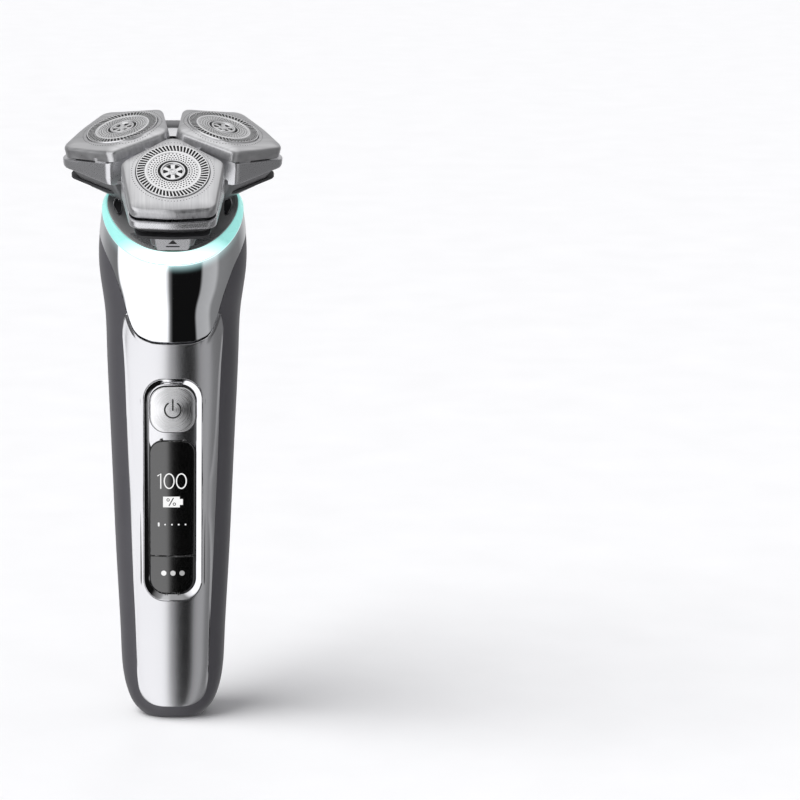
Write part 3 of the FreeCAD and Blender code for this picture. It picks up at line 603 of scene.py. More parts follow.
def build_shield():
    """Chrome shield from its curved lower edge up to the light ring."""
    cols = []
    painted_spill_level = []
    angles = np.linspace(math.radians(181.5), math.radians(358.5), 150)
    fine = np.linspace(KNOTS[7], TOP, 900)
    rings = np.array([handle_ring(t, angles) for t in fine])
    edge = np.interp(np.abs(rings[:, :, 0]), SHIELD_LINE[:, 0], SHIELD_LINE[:, 1])
    above = rings[:, :, 2] > edge + 0.1
    rows = 70
    for k in range(len(angles)):
        start = int(np.argmax(above[:, k])) if above[:, k].any() else -1
        if start <= 0 or start >= len(fine) - 6:
            continue
        ease = np.linspace(0, 1, rows)
        ts = fine[start] + (TOP - 0.03 - fine[start]) * ease
        col = []
        for t in ts:
            p = handle_ring(t, angles[k:k + 1], edge_round((t - fine[start]), 0.3))[0]
            col.append(tuple(p))
        cols.append(col)
        # Painted light: how strongly the ring's spill is painted onto the chrome, only towards the front, fading
        # over 3.6 mm below the ring.
        front = max(0.0, -math.sin(angles[k])) ** 3
        painted_spill_level.extend(front * max(0.0, 1 - (TOP - t) / 3.6) ** 2.2 for t in ts)
    # The shield's chrome carries the painted glow of the ring's spill.
    shield = add_piece("upper_shield_skin", *quilt(cols, wrap_cols=False, flip=True), "handle", "mirror_chrome",
                       material="chrome_painted_spill")
    shield.data.attributes.new("painted_ring_spill", "FLOAT", "POINT").data.foreach_set("value", painted_spill_level)
    thicken(shield, 0.9)
    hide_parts("upper_shield")


def front_fill(name, outline, body, slot, sink, thick=1.0, soft=0.25, material=None, levels=70, across=28):
    """Convex patch on the handle's front, sunk below the surface, its edge rounded."""
    right = outline[outline[:, 0] >= -1e-6]
    z0, z1 = right[:, 1].min(), right[:, 1].max()
    ease = 0.5 - 0.5 * np.cos(np.linspace(0.02, math.pi - 0.02, levels))
    spread_x = np.sin(np.linspace(-math.pi / 2, math.pi / 2, across))
    verts = []
    for e in ease:
        z = z0 + (z1 - z0) * e
        cut = outline[:, 1] - z
        wide = 0.0
        for k in np.where(cut * np.roll(cut, -1) <= 0)[0]:
            m = (k + 1) % len(outline)
            f = cut[k] / (cut[k] - cut[m]) if cut[k] != cut[m] else 0.0
            wide = max(wide, outline[k, 0] * (1 - f) + outline[m, 0] * f)
        for u in spread_x:
            x = wide * u
            gap = np.hypot(outline[:, 0] - x, outline[:, 1] - z).min()
            verts.append((x, front_y(x, z) + sink + edge_round(gap, soft), z))
    obj = add_piece(name, verts, grid_faces(levels, across, wrap_cols=False), body, slot, material=material)
    return thicken(obj, thick)


def build_controls():
    """Bezel, silver bridge, display window, mode button, and near-black sheets of painted shade in the gaps round
    them and under them.
    """
    count = 360
    outer = slot_outline(8.3, 37.0, 102.5, 6.0, count)
    inner = slot_outline(6.72, 38.7, 100.9, 4.75, count)

    def bezel_lift(from_out, from_in, x, z):
        share = from_out / max(from_out + from_in, 1e-6)
        return 0.06 - edge_round(from_out, 0.14) - 0.8 * share

    bezel = front_patch("control_bezel_skin", outer, inner, "handle", "bezel_chrome", bezel_lift, 14, 1.2)
    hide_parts("control_bezel")
    bridge = slot_outline(6.74, 80.0, 100.95, 4.7, 300)
    front_fill("bezel_bridge", bridge, "handle", "bezel_chrome", 0.62, 0.5, 0.02, material="bridge_silver")
    # The gaps round the button and the display are filled with near-black sheets: painted shade.
    button_gap = rounded([(6.7, 100.55), (6.7, 86.75), (-6.7, 86.75), (-6.7, 100.55)], [4.6] * 4, 300)
    front_fill("button_gap", button_gap, "handle", "bezel_chrome", 0.57, 0.3, 0.02, material="painted_shade_black")
    lens_gap = rounded([(6.7, 84.6), (6.7, 48.0), (-6.7, 48.0), (-6.7, 84.6)], [3.9, 0.4, 0.4, 3.9], 300)
    front_fill("lens_gap", lens_gap, "handle", "bezel_chrome", 0.57, 0.3, 0.02, material="painted_shade_black")
    lens = front_fill("display_lens_skin", display_outline(), "handle", "display_gloss", 0.36, 0.9)
    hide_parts("display_lens")
    mode = front_fill("mode_button_skin", mode_outline(), "mode_button", "display_gloss", 0.36, 1.2)
    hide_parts("mode_button")
    # Near-black sheet deep under the whole slot: painted shade in the recess.
    front_fill("control_recess_shade", slot_outline(7.4, 38.0, 101.6, 5.2, 300), "handle", "black_plastic", 2.3, 0.5,
               material="painted_shade_black")


def rounded(corners, radii, count):
    """Closed outline, clockwise from the first side's middle, with a radius per corner."""
    pts = []
    n = len(corners)
    for i in range(n):
        here = np.array(corners[i], float)
        back = np.array(corners[i - 1], float) - here
        ahead = np.array(corners[(i + 1) % n], float) - here
        back /= np.linalg.norm(back)
        ahead /= np.linalg.norm(ahead)
        half = math.acos(max(-1, min(1, back @ ahead))) / 2
        r = radii[i]
        reach = r / math.tan(half)
        p0 = here + back * reach
        p1 = here + ahead * reach
        mid = here + (back + ahead) / np.linalg.norm(back + ahead) * r / math.sin(half)
        a0 = math.atan2(*(p0 - mid)[::-1])
        a1 = math.atan2(*(p1 - mid)[::-1])
        turn = (a1 - a0 + math.pi) % (2 * math.pi) - math.pi
        for k in range(13):
            a = a0 + turn * k / 12
            pts.append(mid + r * np.array([math.cos(a), math.sin(a)]))
    pts = np.array(pts)
    start = (pts[-1] + pts[0]) / 2
    return resample(np.vstack([start, pts, start]), count + 1)[:-1]


def display_outline():
    return rounded([(6.45, 84.2), (6.45, 50.4), (-6.45, 50.4), (-6.45, 84.2)], [3.6, 0.4, 0.4, 3.6], 300)


def mode_outline():
    return rounded([(6.4, 50.1), (6.4, 39.25), (-6.4, 39.25), (-6.4, 50.1)], [0.4, 4.2, 4.2, 0.4], 240)


def build_power_button():
    """Square cap with big corners in turned metal, dished a little, with its icon."""
    z0 = 93.6
    y0 = front_y(0, z0) - 0.1
    pose = shift(0, y0, z0, MM) @ spin(90, "X")
    outline = rounded([(6.5, 6.6), (6.5, -6.6), (-6.5, -6.6), (-6.5, 6.6)], [4.4] * 4, 240)
    rows = []
    curve = lambda x: (front_y(x, z0) - front_y(0, z0))
    for scale, drop in ((1.0, -1.0), (1.0, -0.45), (0.99, -0.2), (0.965, -0.05), (0.94, 0.0),
                        (0.8, 0.0), (0.6, 0.0), (0.4, 0.0), (0.2, 0.0), (0.05, 0.0)):
        rows.append([(x * scale, y * scale, drop - curve(abs(x * scale)) * 0.8) for x, y in outline])
    cap = add_piece("power_button_cap", *capped(rows), "power_button", "spun_steel", matrix=pose, closed=True)
    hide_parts("power_button")
    icon = [stroke([(2.3 * math.sin(math.radians(a)), 2.3 * math.cos(math.radians(a)))
                    for a in range(36, 325, 6)], 0.46),
            stroke([(0, -0.05), (0, 2.9)], 0.46)]
    verts, faces = join(icon)
    verts = [(x, y, 0.012 - curve(abs(x)) * 0.8 + z) for x, y, z in verts]
    add_piece("power_icon", verts, faces, "power_button", "spun_steel", matrix=pose, material="ink_grey",
              closed=True)


def stroke(points, width, height=0.02):
    """Flat ribbon with round ends along a line of (x, y)."""
    pts = np.array(points, float)
    left = []
    right = []
    for i, p in enumerate(pts):
        d = pts[min(i + 1, len(pts) - 1)] - pts[max(i - 1, 0)]
        d = d / np.linalg.norm(d)
        n = np.array([-d[1], d[0]]) * width / 2
        left.append(p + n)
        right.append(p - n)
    ends = []
    for p, d in ((pts[-1], pts[-1] - pts[-2]), (pts[0], pts[0] - pts[1])):
        a0 = math.atan2(d[1], d[0])
        ends.append([p + width / 2 * np.array([math.cos(a0 + t), math.sin(a0 + t)])
                     for t in np.linspace(math.pi / 2, -math.pi / 2, 9)[1:-1]])
    outline = [tuple(map(float, p)) for p in left + ends[0] + right[::-1] + ends[1]]
    verts, faces = prism(outline, 0.0, height)
    count = len(left)
    turn = count + len(ends[0])
    rib = [(k, k + 1, turn + count - 2 - k, turn + count - 1 - k) for k in range(count - 1)]
    rib.append([count - 1, *range(count, turn + 1)])
    rib.append([0, *range(turn + count - 1, len(outline))])
    top = [tuple(i + len(outline) for i in face)[::-1] for face in rib]
    return verts, top + faces[2:]


def oval_stroke(x, y, half_x, half_y, width, count=49, height=0.02):
    """Thin ribbon round an oval."""
    angles = np.linspace(0, 2 * math.pi, count)
    return stroke([(x + half_x * math.cos(a), y + half_y * math.sin(a)) for a in angles], width, height)


def disc(x, y, r, count=28, height=0.02):
    """Thin round dot."""
    return prism([(x + r * math.cos(2 * math.pi * k / count), y + r * math.sin(2 * math.pi * k / count))
                  for k in range(count)], 0.0, height)


def on_front(name, parts, body, material, sink):
    """Lay thin (x, z) shapes on the handle's front, sunk a little below the surface."""
    verts, faces = join(parts)
    laid = [(x, front_y(x, z) + sink - h, z) for x, z, h in verts]
    return add_piece(name, laid, [f[::-1] for f in faces], body, "display_gloss", material=material,
                     closed=True)


def build_display_marks():
    """Charge number, battery with a percent sign, a row of levels and three mode dots."""
    sink = 0.352
    digits = [stroke([(-4.3, 74.1), (-3.45, 74.75), (-3.45, 70.4)], 0.32),
              oval_stroke(-1.05, 72.55, 1.4, 2.15, 0.34), oval_stroke(2.45, 72.55, 1.4, 2.15, 0.34)]
    on_front("digits_100", digits, "handle", "icon_white", sink)
    cell = [block(-2.8 + 0.6 * k, -2.8 + 0.6 * (k + 1), 64.8, 67.95, 0.0, 0.02) for k in range(8)]
    cell.append(block(2.0, 2.45, 65.5, 67.25, 0.0, 0.02))
    cell.append(block(2.45, 2.9, 65.5, 67.25, 0.0, 0.02))
    on_front("battery_icon", cell, "handle", "icon_white", sink)
    mark = [stroke([(-1.05, 65.3), (0.15, 67.5)], 0.3, 0.03)]
    for cx, cz in ((-1.35, 67.0), (0.45, 65.75)):
        mark.append(oval_stroke(cx, cz, 0.36, 0.36, 0.22, 25, 0.03))
    on_front("percent_mark", mark, "handle", "ink_grey", sink - 0.01)
    row = [disc(-2.2 + 1.95 * k, 59.65, 0.24) for k in range(4)]
    row.insert(0, stroke([(-4.05, 59.3), (-4.05, 60.0)], 0.5))
    on_front("level_row", row, "handle", "icon_white", sink)
    for k, material in enumerate(("icon_white", "icon_mid", "icon_low")):
        on_front("mode_dot_%d" % (k + 1), [disc(-2.6 + 2.63 * k, 45.15, 0.76)], "mode_button", material, sink)


def ring_loop(half_x, half_y, z, power=OVAL, yc=-1.2, follow=1.0, slim=0.0):
    """Loop in the unit's frame; follow is how far it shares the rim's rise, slim narrows it at the sides."""
    pts = []
    for a in AROUND:
        c = math.cos(a)
        s = math.sin(a)
        share = math.copysign(abs(s) ** (2 / power), s)
        wide = slim * (1 - share * share)
        x = math.copysign(abs(c) ** (2 / power), c) * (half_x + wide)
        y = share * (half_y + wide)
        lift = float(rim_shift(share)) * follow
        pts.append((x, y + yc + lift * math.sin(LEAN), z + lift * math.cos(LEAN)))
    return pts


def build_ring():
    """Light band between shield and collar, then the dished collar with its ribs."""
    profile = [(0.25, -24.87), (0.02, -24.8), (0.0, -24.65), (0.18, -24.35), (1.2, -23.35), (2.2, -22.52),
               (2.5, -22.42), (2.8, -22.42), (3.1, -22.5), (3.7, -23.1), (3.7, -23.6), (1.9, -24.87)]
    rows = [ring_loop(20.2 - inset, 19.0 - inset, z, slim=inset * 0.55) for inset, z in profile]
    band = add_piece("light_ring_band", *quilt(rows, wrap_rows=True), "handle", "ring_glow", matrix=UNIT)
    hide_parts("light_ring")
    # half width, half depth, height, power and centre of each loop, from the outer wall over the crest inwards
    levels = [(16.9, 15.7, -23.4, OVAL, -1.2), (17.0, 15.8, -22.7, OVAL, -1.2), (16.8, 15.6, -22.5, OVAL, -1.2),
              (16.3, 15.1, -22.55, OVAL, -1.2), (15.6, 14.4, -22.9, 2.33, -1.15), (13.6, 12.8, -23.9, 2.25, -0.9),
              (11.9, 11.5, -24.45, 2.12, -0.5), (10.2, 10.2, -24.6, 2.0, -0.1), (9.15, 9.15, -24.5, 2.0, 0.0),
              (8.9, 8.9, -24.2, 2.0, 0.0), (8.85, 8.85, -21.75, 2.0, 0.0), (8.7, 8.7, -21.55, 2.0, 0.0),
              (7.75, 7.75, -21.55, 2.0, 0.0), (7.62, 7.62, -21.7, 2.0, 0.0), (7.62, 7.62, -24.3, 2.0, 0.0),
              (4.6, 4.6, -24.4, 2.0, 0.0), (4.6, 4.6, -25.9, 2.0, 0.0), (3.9, 3.9, -26.0, 2.0, 0.0),
              (3.9, 3.9, -28.0, 2.0, 0.0), (8.8, 8.8, -28.0, 2.0, 0.0), (10.5, 10.5, -25.9, 2.0, 0.0),
              (16.2, 15.0, -25.6, OVAL, -1.2)]
    rows = [ring_loop(hx, hy, z, power, yc, min(1.0, max(0.0, (hx - 9.4) / 6.0)),
                      1.75 if hx > 15 else 0.7 if hx > 13 else 0.0) for hx, hy, z, power, yc in levels]
    collar = add_piece("neck_collar_dish", *quilt(rows, wrap_rows=True), "handle", "black_plastic", matrix=UNIT,
                       material="collar_plastic")
    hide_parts("neck_collar")
    crest = [ring_loop(15.3, 14.1, -23.0, 2.33, -1.15, 0.98, 1.75),
             ring_loop(13.6, 12.8, -23.86, 2.25, -0.9, 0.7, 0.7),
             ring_loop(12.3, 11.8, -24.3, 2.15, -0.6, 0.48, 0.2)]
    up = Vector((0, 0, 0.17))
    ribs = []
    for centre in (-122, -58, 128, 52):
        for k in range(9):
            a = math.radians(centre + (k - 4) * 3.3)
            n = int(np.argmin(np.abs(np.angle(np.exp(1j * (AROUND - a))))))
            verts = []
            for loop in crest:
                side = (Vector(loop[(n + 1) % len(loop)]) - Vector(loop[n - 1])).normalized() * 0.13
                here = Vector(loop[n])
                verts += [here - side - up, here - side * 0.7 + up, here + side * 0.7 + up, here + side - up]
            ribs.append((verts, grid_faces(3, 4) + [(3, 2, 1, 0), (8, 9, 10, 11)]))
    # The ribs take the lighter rim silver instead of the collar's own finish: a painted highlight along them.
    add_piece("collar_ribs", *join(ribs), "handle", "black_plastic", matrix=UNIT, material="rim_silver",
              closed=True)
    for side in (-1, 1):
        name = "left" if side < 0 else "right"

        def oval(r, off):
            """Loop on the dish, r of the recess's size, off above the surface."""
            pts = []
            for a in np.linspace(0, 2 * math.pi, 48, endpoint=False):
                x = 15.7 + 1.15 * r * math.cos(a)
                y = -1.6 + 3.9 * r * math.sin(a)
                lift = float(rim_shift(y / 15.7)) * 0.9
                z = -23.85 + (x - 14.3) * 0.33 + off
                pts.append((side * x, y + lift * math.sin(LEAN), z + lift * math.cos(LEAN)))
            return pts

        verts, faces = quilt([oval(r, off) for r, off in ((0.3, 0.1), (0.9, 0.12), (0.95, -0.3))])
        faces.append(tuple(range(48))[::-1])
        add_piece("collar_pocket_" + name, verts, faces, "handle", "black_plastic", matrix=UNIT)
        rim = [oval(r, off) for r, off in ((0.86, 0.05), (0.9, 0.28), (1.0, 0.34), (1.1, 0.24), (1.18, -0.1))]
        add_piece("collar_pocket_rim_" + name, *quilt(rim), "handle", "black_plastic", matrix=UNIT,
                  material="bridge_silver")


build_shell()
build_panel()
build_shield()
build_controls()
build_power_button()
build_display_marks()
build_ring()


# ---------------------------------------------------------------- shaving unit

PLATE = [(-15.4, 0.0), (-4.6, 14.6), (3.3, 13.4), (13.8, 11.8), (14.8, 0.0), (13.8, -11.8), (3.3, -13.4),
         (-4.6, -14.6)]
PLATE_R = [4.5, 3.0, 6.0, 3.0, 40.0, 3.0, 6.0, 3.0]


def by_angle(points, angles):
    """Distance from the origin to a closed outline in each direction."""
    pts = np.asarray(points)
    a = np.unwrap(np.arctan2(pts[:, 1], pts[:, 0]))
    r = np.hypot(pts[:, 0], pts[:, 1])
    if a[-1] < a[0]:
        a = a[::-1]
        r = r[::-1]
    a = a - 2 * math.pi * math.floor(a[0] / (2 * math.pi))
    a3 = np.concatenate([a - 2 * math.pi, a, a + 2 * math.pi])
    r3 = np.concatenate([r, r, r])
    return np.interp(angles % (2 * math.pi), a3, r3)


PLATE_LINE = rounded(PLATE, PLATE_R, 900)
FAN = np.linspace(0, 2 * math.pi, 360, endpoint=False)
PLATE_REACH = by_angle(PLATE_LINE, FAN)


def build_plate(side):
    """Domed plate: flat round the cap, falling to a soft edge, then a short skirt and an inner wall."""
    hole = 10.42
    rows = []
    cos = np.cos(FAN)
    sin = np.sin(FAN)

    def row(radius, height):
        rows.append(list(zip(radius * cos, radius * sin, height * np.ones(len(FAN)))))

    row(np.full(len(FAN), hole), -1.2)
    row(np.full(len(FAN), hole), -0.12)
    row(np.full(len(FAN), hole + 0.12), 0.0)
    room = PLATE_REACH - hole - 0.12
    for u in np.linspace(0.06, 1.0, 30):
        radius = hole + 0.12 + room * (1 - (1 - u) ** 1.5)
        d = (PLATE_REACH - radius)
        soft = np.clip(1 - d / 4.2, 0, 1)
        fall = 1.05 * soft ** 2.3
        corner = 0.7 - np.sqrt(np.clip(0.49 - np.clip(0.7 - d, 0, 0.7) ** 2, 0, None))
        row(radius, -fall - corner)
    row(PLATE_REACH, -2.5)
    row(PLATE_REACH, -3.95)
    row(PLATE_REACH - 0.12, -4.08)
    row(PLATE_REACH - 0.9, -4.08)
    row(PLATE_REACH - 1.0, -3.4)
    row(PLATE_REACH - 1.2, -2.2)
    row(np.maximum(PLATE_REACH - 2.2, hole + 0.8), -1.6)
    row(np.full(len(FAN), hole + 0.6), -1.2)
    parts = [quilt(rows, wrap_rows=True)]
    for sign in (-1, 1):
        y0 = 12.85 if sign > 0 else -13.75
        parts.append(block(-1.9, 1.9, y0, y0 + 0.9, -6.5, -3.0))
        pin = lathe([(0, -0.7), (1.0, -0.7), (1.0, 0.7), (0, 0.7)], 32, False)
        parts.append(moved(pin, shift(0, sign * 12.3, -5.2) @ spin(90, "X")))
    body = "head_" + side
    pose = lobe_matrix(side)
    plate = add_piece("plate_" + side, *join(parts), body, "brushed_plate", matrix=pose, closed=True)
    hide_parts("head_plate_" + side)
    # Ring of small pits coloured near-black: painted shade in the pits.
    pits = []
    for k in range(84):
        a = 2 * math.pi * (k + 0.5) / 84
        cup = lathe([(0, 0.01), (0.13, 0.012), (0.16, -0.03)], 10, False)
        pits.append(moved(cup, shift(11.45 * math.cos(a), 11.45 * math.sin(a), 0.0)))
    verts, faces = join(pits)
    lowered = []
    for x, y, z in verts:
        reach = float(np.interp(math.atan2(y, x) % (2 * math.pi), FAN, PLATE_REACH))
        d = reach - math.hypot(x, y)
        lowered.append((x, y, z - 1.05 * max(0.0, 1 - d / 4.2) ** 2.3))
    add_piece("plate_dots_" + side, lowered, faces, body, "brushed_plate", matrix=pose, material="painted_shade_black",
              closed=True)


def perforated(r0, r1, rows, count, z, hole, depth):
    """Real holes through a flat band: each polar cell is a quad with an eight-sided hole."""
    verts = []
    faces = []
    step = (r1 - r0) / rows
    for i in range(rows):
        ra = r0 + i * step
        rb = ra + step
        for k in range(count):
            stagger = 0.5 * (i % 2)
            a0 = 2 * math.pi * (k + stagger) / count
            a1 = 2 * math.pi * (k + 1 + stagger) / count
            am = (a0 + a1) / 2
            rm = (ra + rb) / 2
            edge = [(ra, a0), (ra, am), (ra, a1), (rm, a1), (rb, a1), (rb, am), (rb, a0), (rm, a0)]
            base = len(verts)
            for r, a in edge:
                verts.append((r * math.cos(a), r * math.sin(a), z))
            cx = rm * math.cos(am)
            cy = rm * math.sin(am)
            ux, uy = math.cos(am), math.sin(am)
            for j in range(16):
                q = math.radians(-135 - 45 * (j % 8))
                p = hole * math.cos(q)
                s = hole * math.sin(q)
                down = z if j < 8 else z - depth
                verts.append((cx + p * ux - s * uy, cy + p * uy + s * ux, down))
            for j in range(8):
                n = (j + 1) % 8
                faces.append((base + j, base + n, base + 8 + n, base + 8 + j)[::-1])
                faces.append((base + 8 + j, base + 8 + n, base + 16 + n, base + 16 + j)[::-1])
    return verts, faces


def build_cap(side):
    """Guard cap: slotted outer track, smooth ring, perforated band, groove, and a turned hub."""
    pose = lobe_matrix(side)
    outer = lathe([(10.25, -2.4), (10.25, 0.12), (10.17, 0.3), (10.05, 0.33), (9.95, 0.3), (9.9, 0.1),
                   (9.9, -2.9), (11.05, -2.9), (11.05, -2.4)], 144)
    track = lathe([(9.95, -0.32), (9.95, -0.42), (7.9, -0.42), (7.9, -0.32)], 96)
    smooth = lathe([(7.95, -0.3), (7.95, 0.24), (7.85, 0.33), (7.7, 0.36), (7.2, 0.36), (7.1, 0.3), (7.05, 0.22),
                    (7.05, -0.1), (7.3, -0.3)], 144)
    groove = lathe([(4.35, -0.1), (4.35, 0.2), (4.28, 0.27), (4.2, 0.27), (4.13, 0.15), (4.1, -0.35),
                    (3.55, -0.35), (3.5, 0.1), (3.45, 0.3), (3.35, 0.38), (3.1, 0.38), (3.0, 0.3), (2.95, 0.05),
                    (2.9, -0.02), (0, -0.02), (0, -0.5), (4.35, -0.5)], 144, True)
    band = perforated(4.33, 7.07, 4, 42, 0.22, 0.24, 0.1)
    parts = [outer, track, smooth, groove, band]
    cap = add_piece("guard_cap_skin_" + side, *join(parts), "head_" + side, "blade_steel", matrix=pose)
    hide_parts("guard_cap_" + side)
    bars = []
    count = 58
    for k in range(count):
        bar = prism([(-1.0, -0.15), (1.0, -0.19), (1.0, 0.19), (-1.0, 0.15)], -0.02, 0.33)
        bars.append(moved(bar, spin(360 * k / count, "Z") @ shift(8.93, 0, 0) @ spin(14, "Z")))
    add_piece("cap_slats_" + side, *join(bars), "head_" + side, "blade_steel", matrix=pose, closed=True)
    # Near-black rings under the slats, in the band's well and in the groove, and six wedges on the hub: painted
    # shade.
    under = lathe([(9.88, 0.05), (9.88, -0.03), (7.96, -0.03), (7.96, 0.05)], 96)
    well = lathe([(7.04, 0.13), (7.04, 0.05), (4.36, 0.05), (4.36, 0.13)], 96)
    ditch = lathe([(4.09, -0.18), (4.09, -0.3), (3.56, -0.3), (3.56, -0.18)], 96)
    dark = join([under, well, ditch])
    hub = []
    for k in range(6):
        wedge = prism([(1.35, -0.22), (2.6, -0.75), (2.75, 0.0), (2.6, 0.75), (1.35, 0.22)], -0.05, 0.015)
        hub.append(moved(wedge, spin(60 * (k + 0.5), "Z")))
    add_piece("cap_shadow_" + side, *join([dark] + hub), "head_" + side, "blade_steel", matrix=pose,
              material="painted_shade_black", closed=True)
    beads = [lathe([(1.15, -0.03), (1.15, 0.1), (1.08, 0.16), (0.9, 0.16), (0.82, 0.1), (0.82, -0.03)], 48)]
    for k in range(10):
        a = 2 * math.pi * k / 10
        dot = lathe([(0, 0.14), (0.12, 0.11), (0.16, 0.0)], 12, False)
        beads.append(moved(dot, shift(0.5 * math.cos(a), 0.5 * math.sin(a), -0.02)))
    add_piece("cap_hub_" + side, *join(beads), "head_" + side, "blade_steel", matrix=pose, closed=True)


def polar_clover(count, scale, tilt, soft):
    """Distance from the unit axis to the outline of three lobes, with soft inner corners."""
    angles = np.linspace(0, 2 * math.pi, count, endpoint=False)
    lines = []
    for turn in LOBES.values():
        k = math.radians(turn)
        line = PLATE_LINE * scale
        x = PITCH + line[:, 0] * tilt
        y = line[:, 1]
        lines.append(np.stack([x * math.cos(k) - y * math.sin(k), x * math.sin(k) + y * math.cos(k)], 1))
    reach = np.zeros((3, count))
    for n, line in enumerate(lines):
        nxt = np.roll(line, -1, axis=0)
        for j, a in enumerate(angles):
            d = np.array([math.cos(a), math.sin(a)])
            side_a = line[:, 0] * d[1] - line[:, 1] * d[0]
            side_b = nxt[:, 0] * d[1] - nxt[:, 1] * d[0]
            cross = np.where(side_a * side_b < 0)[0]
            for c in cross:
                f = side_a[c] / (side_a[c] - side_b[c])
                p = line[c] * (1 - f) + nxt[c] * f
                reach[n, j] = max(reach[n, j], float(p @ d))
    reach = np.maximum(reach, 6.0)
    weights = np.exp(reach / soft)
    smooth = soft * np.log(np.exp(reach / soft).sum(0))
    return angles, smooth, weights / weights.sum(0)


def build_carrier():
    """Silver frame under the plates: tops parallel to them, one flat lower edge, soft hollows between."""
    count = 720
    angles, reach, weights = polar_clover(count, 1.0, 0.97, 2.2)
    cos = np.cos(angles)
    sin = np.sin(angles)
    tilt = math.tan(math.radians(15))

    def top(radius, lower):
        height = np.zeros(count)
        for n, turn in enumerate(LOBES.values()):
            k = math.radians(turn)
            out = radius * np.cos(angles - k) - PITCH
            height += weights[n] * (-lower / math.cos(math.radians(15)) - out * tilt)
        return height

    rows = []

    def row(radius, z):
        rows.append(list(zip(radius * cos, radius * sin, z * np.ones(count))))

    low = -10.55
    rim = reach + 0.1
    row(rim - 3.4, top(rim - 3.4, 5.2))
    row(rim - 0.45, top(rim - 0.45, 4.44))
    row(rim - 0.12, top(rim - 0.12, 4.46))
    row(rim, top(rim, 4.58))
    for u in (0.25, 0.5, 0.75):
        row(rim - 0.1 * u, top(rim, 4.58) * (1 - u) + (low + 0.5) * u)
    row(rim - 0.12, low + 0.5)
    row(rim - 0.3, low + 0.15)
    row(rim - 0.7, low)
    row(rim - 4.2, low)
    row(rim - 4.2, low + 1.0)
    ring = add_piece("carrier_rim", *quilt(rows, wrap_rows=True, flip=True), "head_frame", "rim_silver",
                     matrix=UNIT, closed=True)
    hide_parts("head_carrier")
    # floor with three openings, ears for the head pivots, and the hinge knuckle
    floor = []
    for side, turn in LOBES.items():
        k = math.radians(turn)
        base = UNIT.inverted() @ lobe_matrix(side)
        for sign in (-1, 1):
            y0 = 11.55 if sign > 0 else -12.65
            ear = prism([(-2.1, -10.3), (2.1, -10.3), (2.1, -5.9), (1.5, -5.1), (0.6, -4.85), (-0.6, -4.85),
                         (-1.5, -5.1), (-2.1, -5.9)], y0, y0 + 1.1)
            turned = [(x, z, y) for x, y, z in ear[0]], [f[::-1] for f in ear[1]]
            place = Matrix.Diagonal((1000, 1000, 1000, 1)) @ base @ Matrix.Diagonal((0.001, 0.001, 0.001, 1))
            floor.append(moved(turned, place))
        ring_part = lathe([(11.0, low + 0.1), (13.2, low + 0.1), (13.2, low + 1.2), (11.0, low + 1.2)], 96)
        spot = spin(turn, "Z") @ shift(PITCH - 1.8, 0, 0)
        floor.append(moved(ring_part, spot))
    floor.append(block(-3.6, 3.6, 13.0, 24.6, -10.55, -8.5))
    knuckle = lathe([(1.08, -3.65), (1.9, -3.65), (2.0, -3.5), (2.0, 3.5), (1.9, 3.65), (1.08, 3.65)], 48)
    floor.append(moved(knuckle, shift(0, 25.6, -9.5) @ spin(90, "Y")))
    add_piece("carrier_web", *join(floor), "head_frame", "rim_silver", matrix=UNIT, material="base_grey",
              closed=True)


def build_base():
    """Dark lower housing: clover above, closing to the round neck that plugs into the handle."""
    count = 720
    angles, reach, _ = polar_clover(count, 0.955, 0.99, 2.4)
    cos = np.cos(angles)
    sin = np.sin(angles)
    rows = []

    def row(scale, blend, circle, z):
        radius = reach * scale * (1 - blend) + circle * blend
        rows.append(list(zip(radius * cos, radius * sin, z * np.ones(count))))

    for scale, blend, circle, z in ((0.85, 0, 0, -10.9), (0.925, 0, 0, -10.78), (0.935, 0, 0, -10.95),
                                    (0.915, 0, 0, -12.2), (0.885, 0, 0, -13.4), (0.85, 0.02, 20, -14.8),
                                    (0.79, 0.08, 19, -16.2), (0.73, 0.2, 17, -17.2), (0.67, 0.45, 14.5, -18.2),
                                    (0.6, 0.75, 11.6, -19.3), (0.5, 0.95, 9.4, -20.4), (0.5, 1, 9.0, -20.8),
                                    (0.5, 1, 7.52, -20.85), (0.5, 1, 7.5, -24.1), (0.5, 1, 5.0, -24.1),
                                    (0.5, 1, 5.0, -17.3), (0.5, 1, 8.9, -16.9), (0.62, 0.25, 13, -16.2),
                                    (0.8, 0, 0, -14.8), (0.86, 0, 0, -13.2)):
        row(scale, blend, circle, z)
    base = add_piece("base_shell", *quilt(rows, wrap_rows=True, flip=True), "shaving_base", "dark_shell",
                     matrix=UNIT, material="base_grey", closed=True)
    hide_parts("unit_base")
    latch = add_piece("latch_housing", *block(-7.4, 7.4, -25.9, -13.0, -19.4, -13.2), "shaving_base",
                      "dark_shell", matrix=UNIT, material="base_grey")
    for v in latch.data.vertices:
        if v.co.z < -0.018:
            v.co.x *= 0.78
            v.co.y += 0.0012
    carve(latch, [block(-5.35, 5.35, -30, -23.4, -22, -14.05)], "latch")
    soften(latch, 0.7, 4)
    bars = []
    for side in (-1, 1):
        x0 = min(side * 3.9, side * 6.6)
        lug = prism([(23.3, -14.5), (26.4, -14.5), (27.4, -10.6), (27.2, -8.6), (26.2, -7.6), (25.0, -7.6),
                     (24.0, -8.6), (23.6, -10.6)], x0, x0 + 2.7)
        bars.append(([(z, x, y) for x, y, z in lug[0]], lug[1]))
    bars.append(block(-6.6, 6.6, 12.0, 25.4, -14.5, -12.3))
    arm = add_piece("hinge_arm", *join(bars), "shaving_base", "dark_shell", matrix=UNIT, material="base_grey",
                    closed=True)
    soften(arm, 0.3, 3)


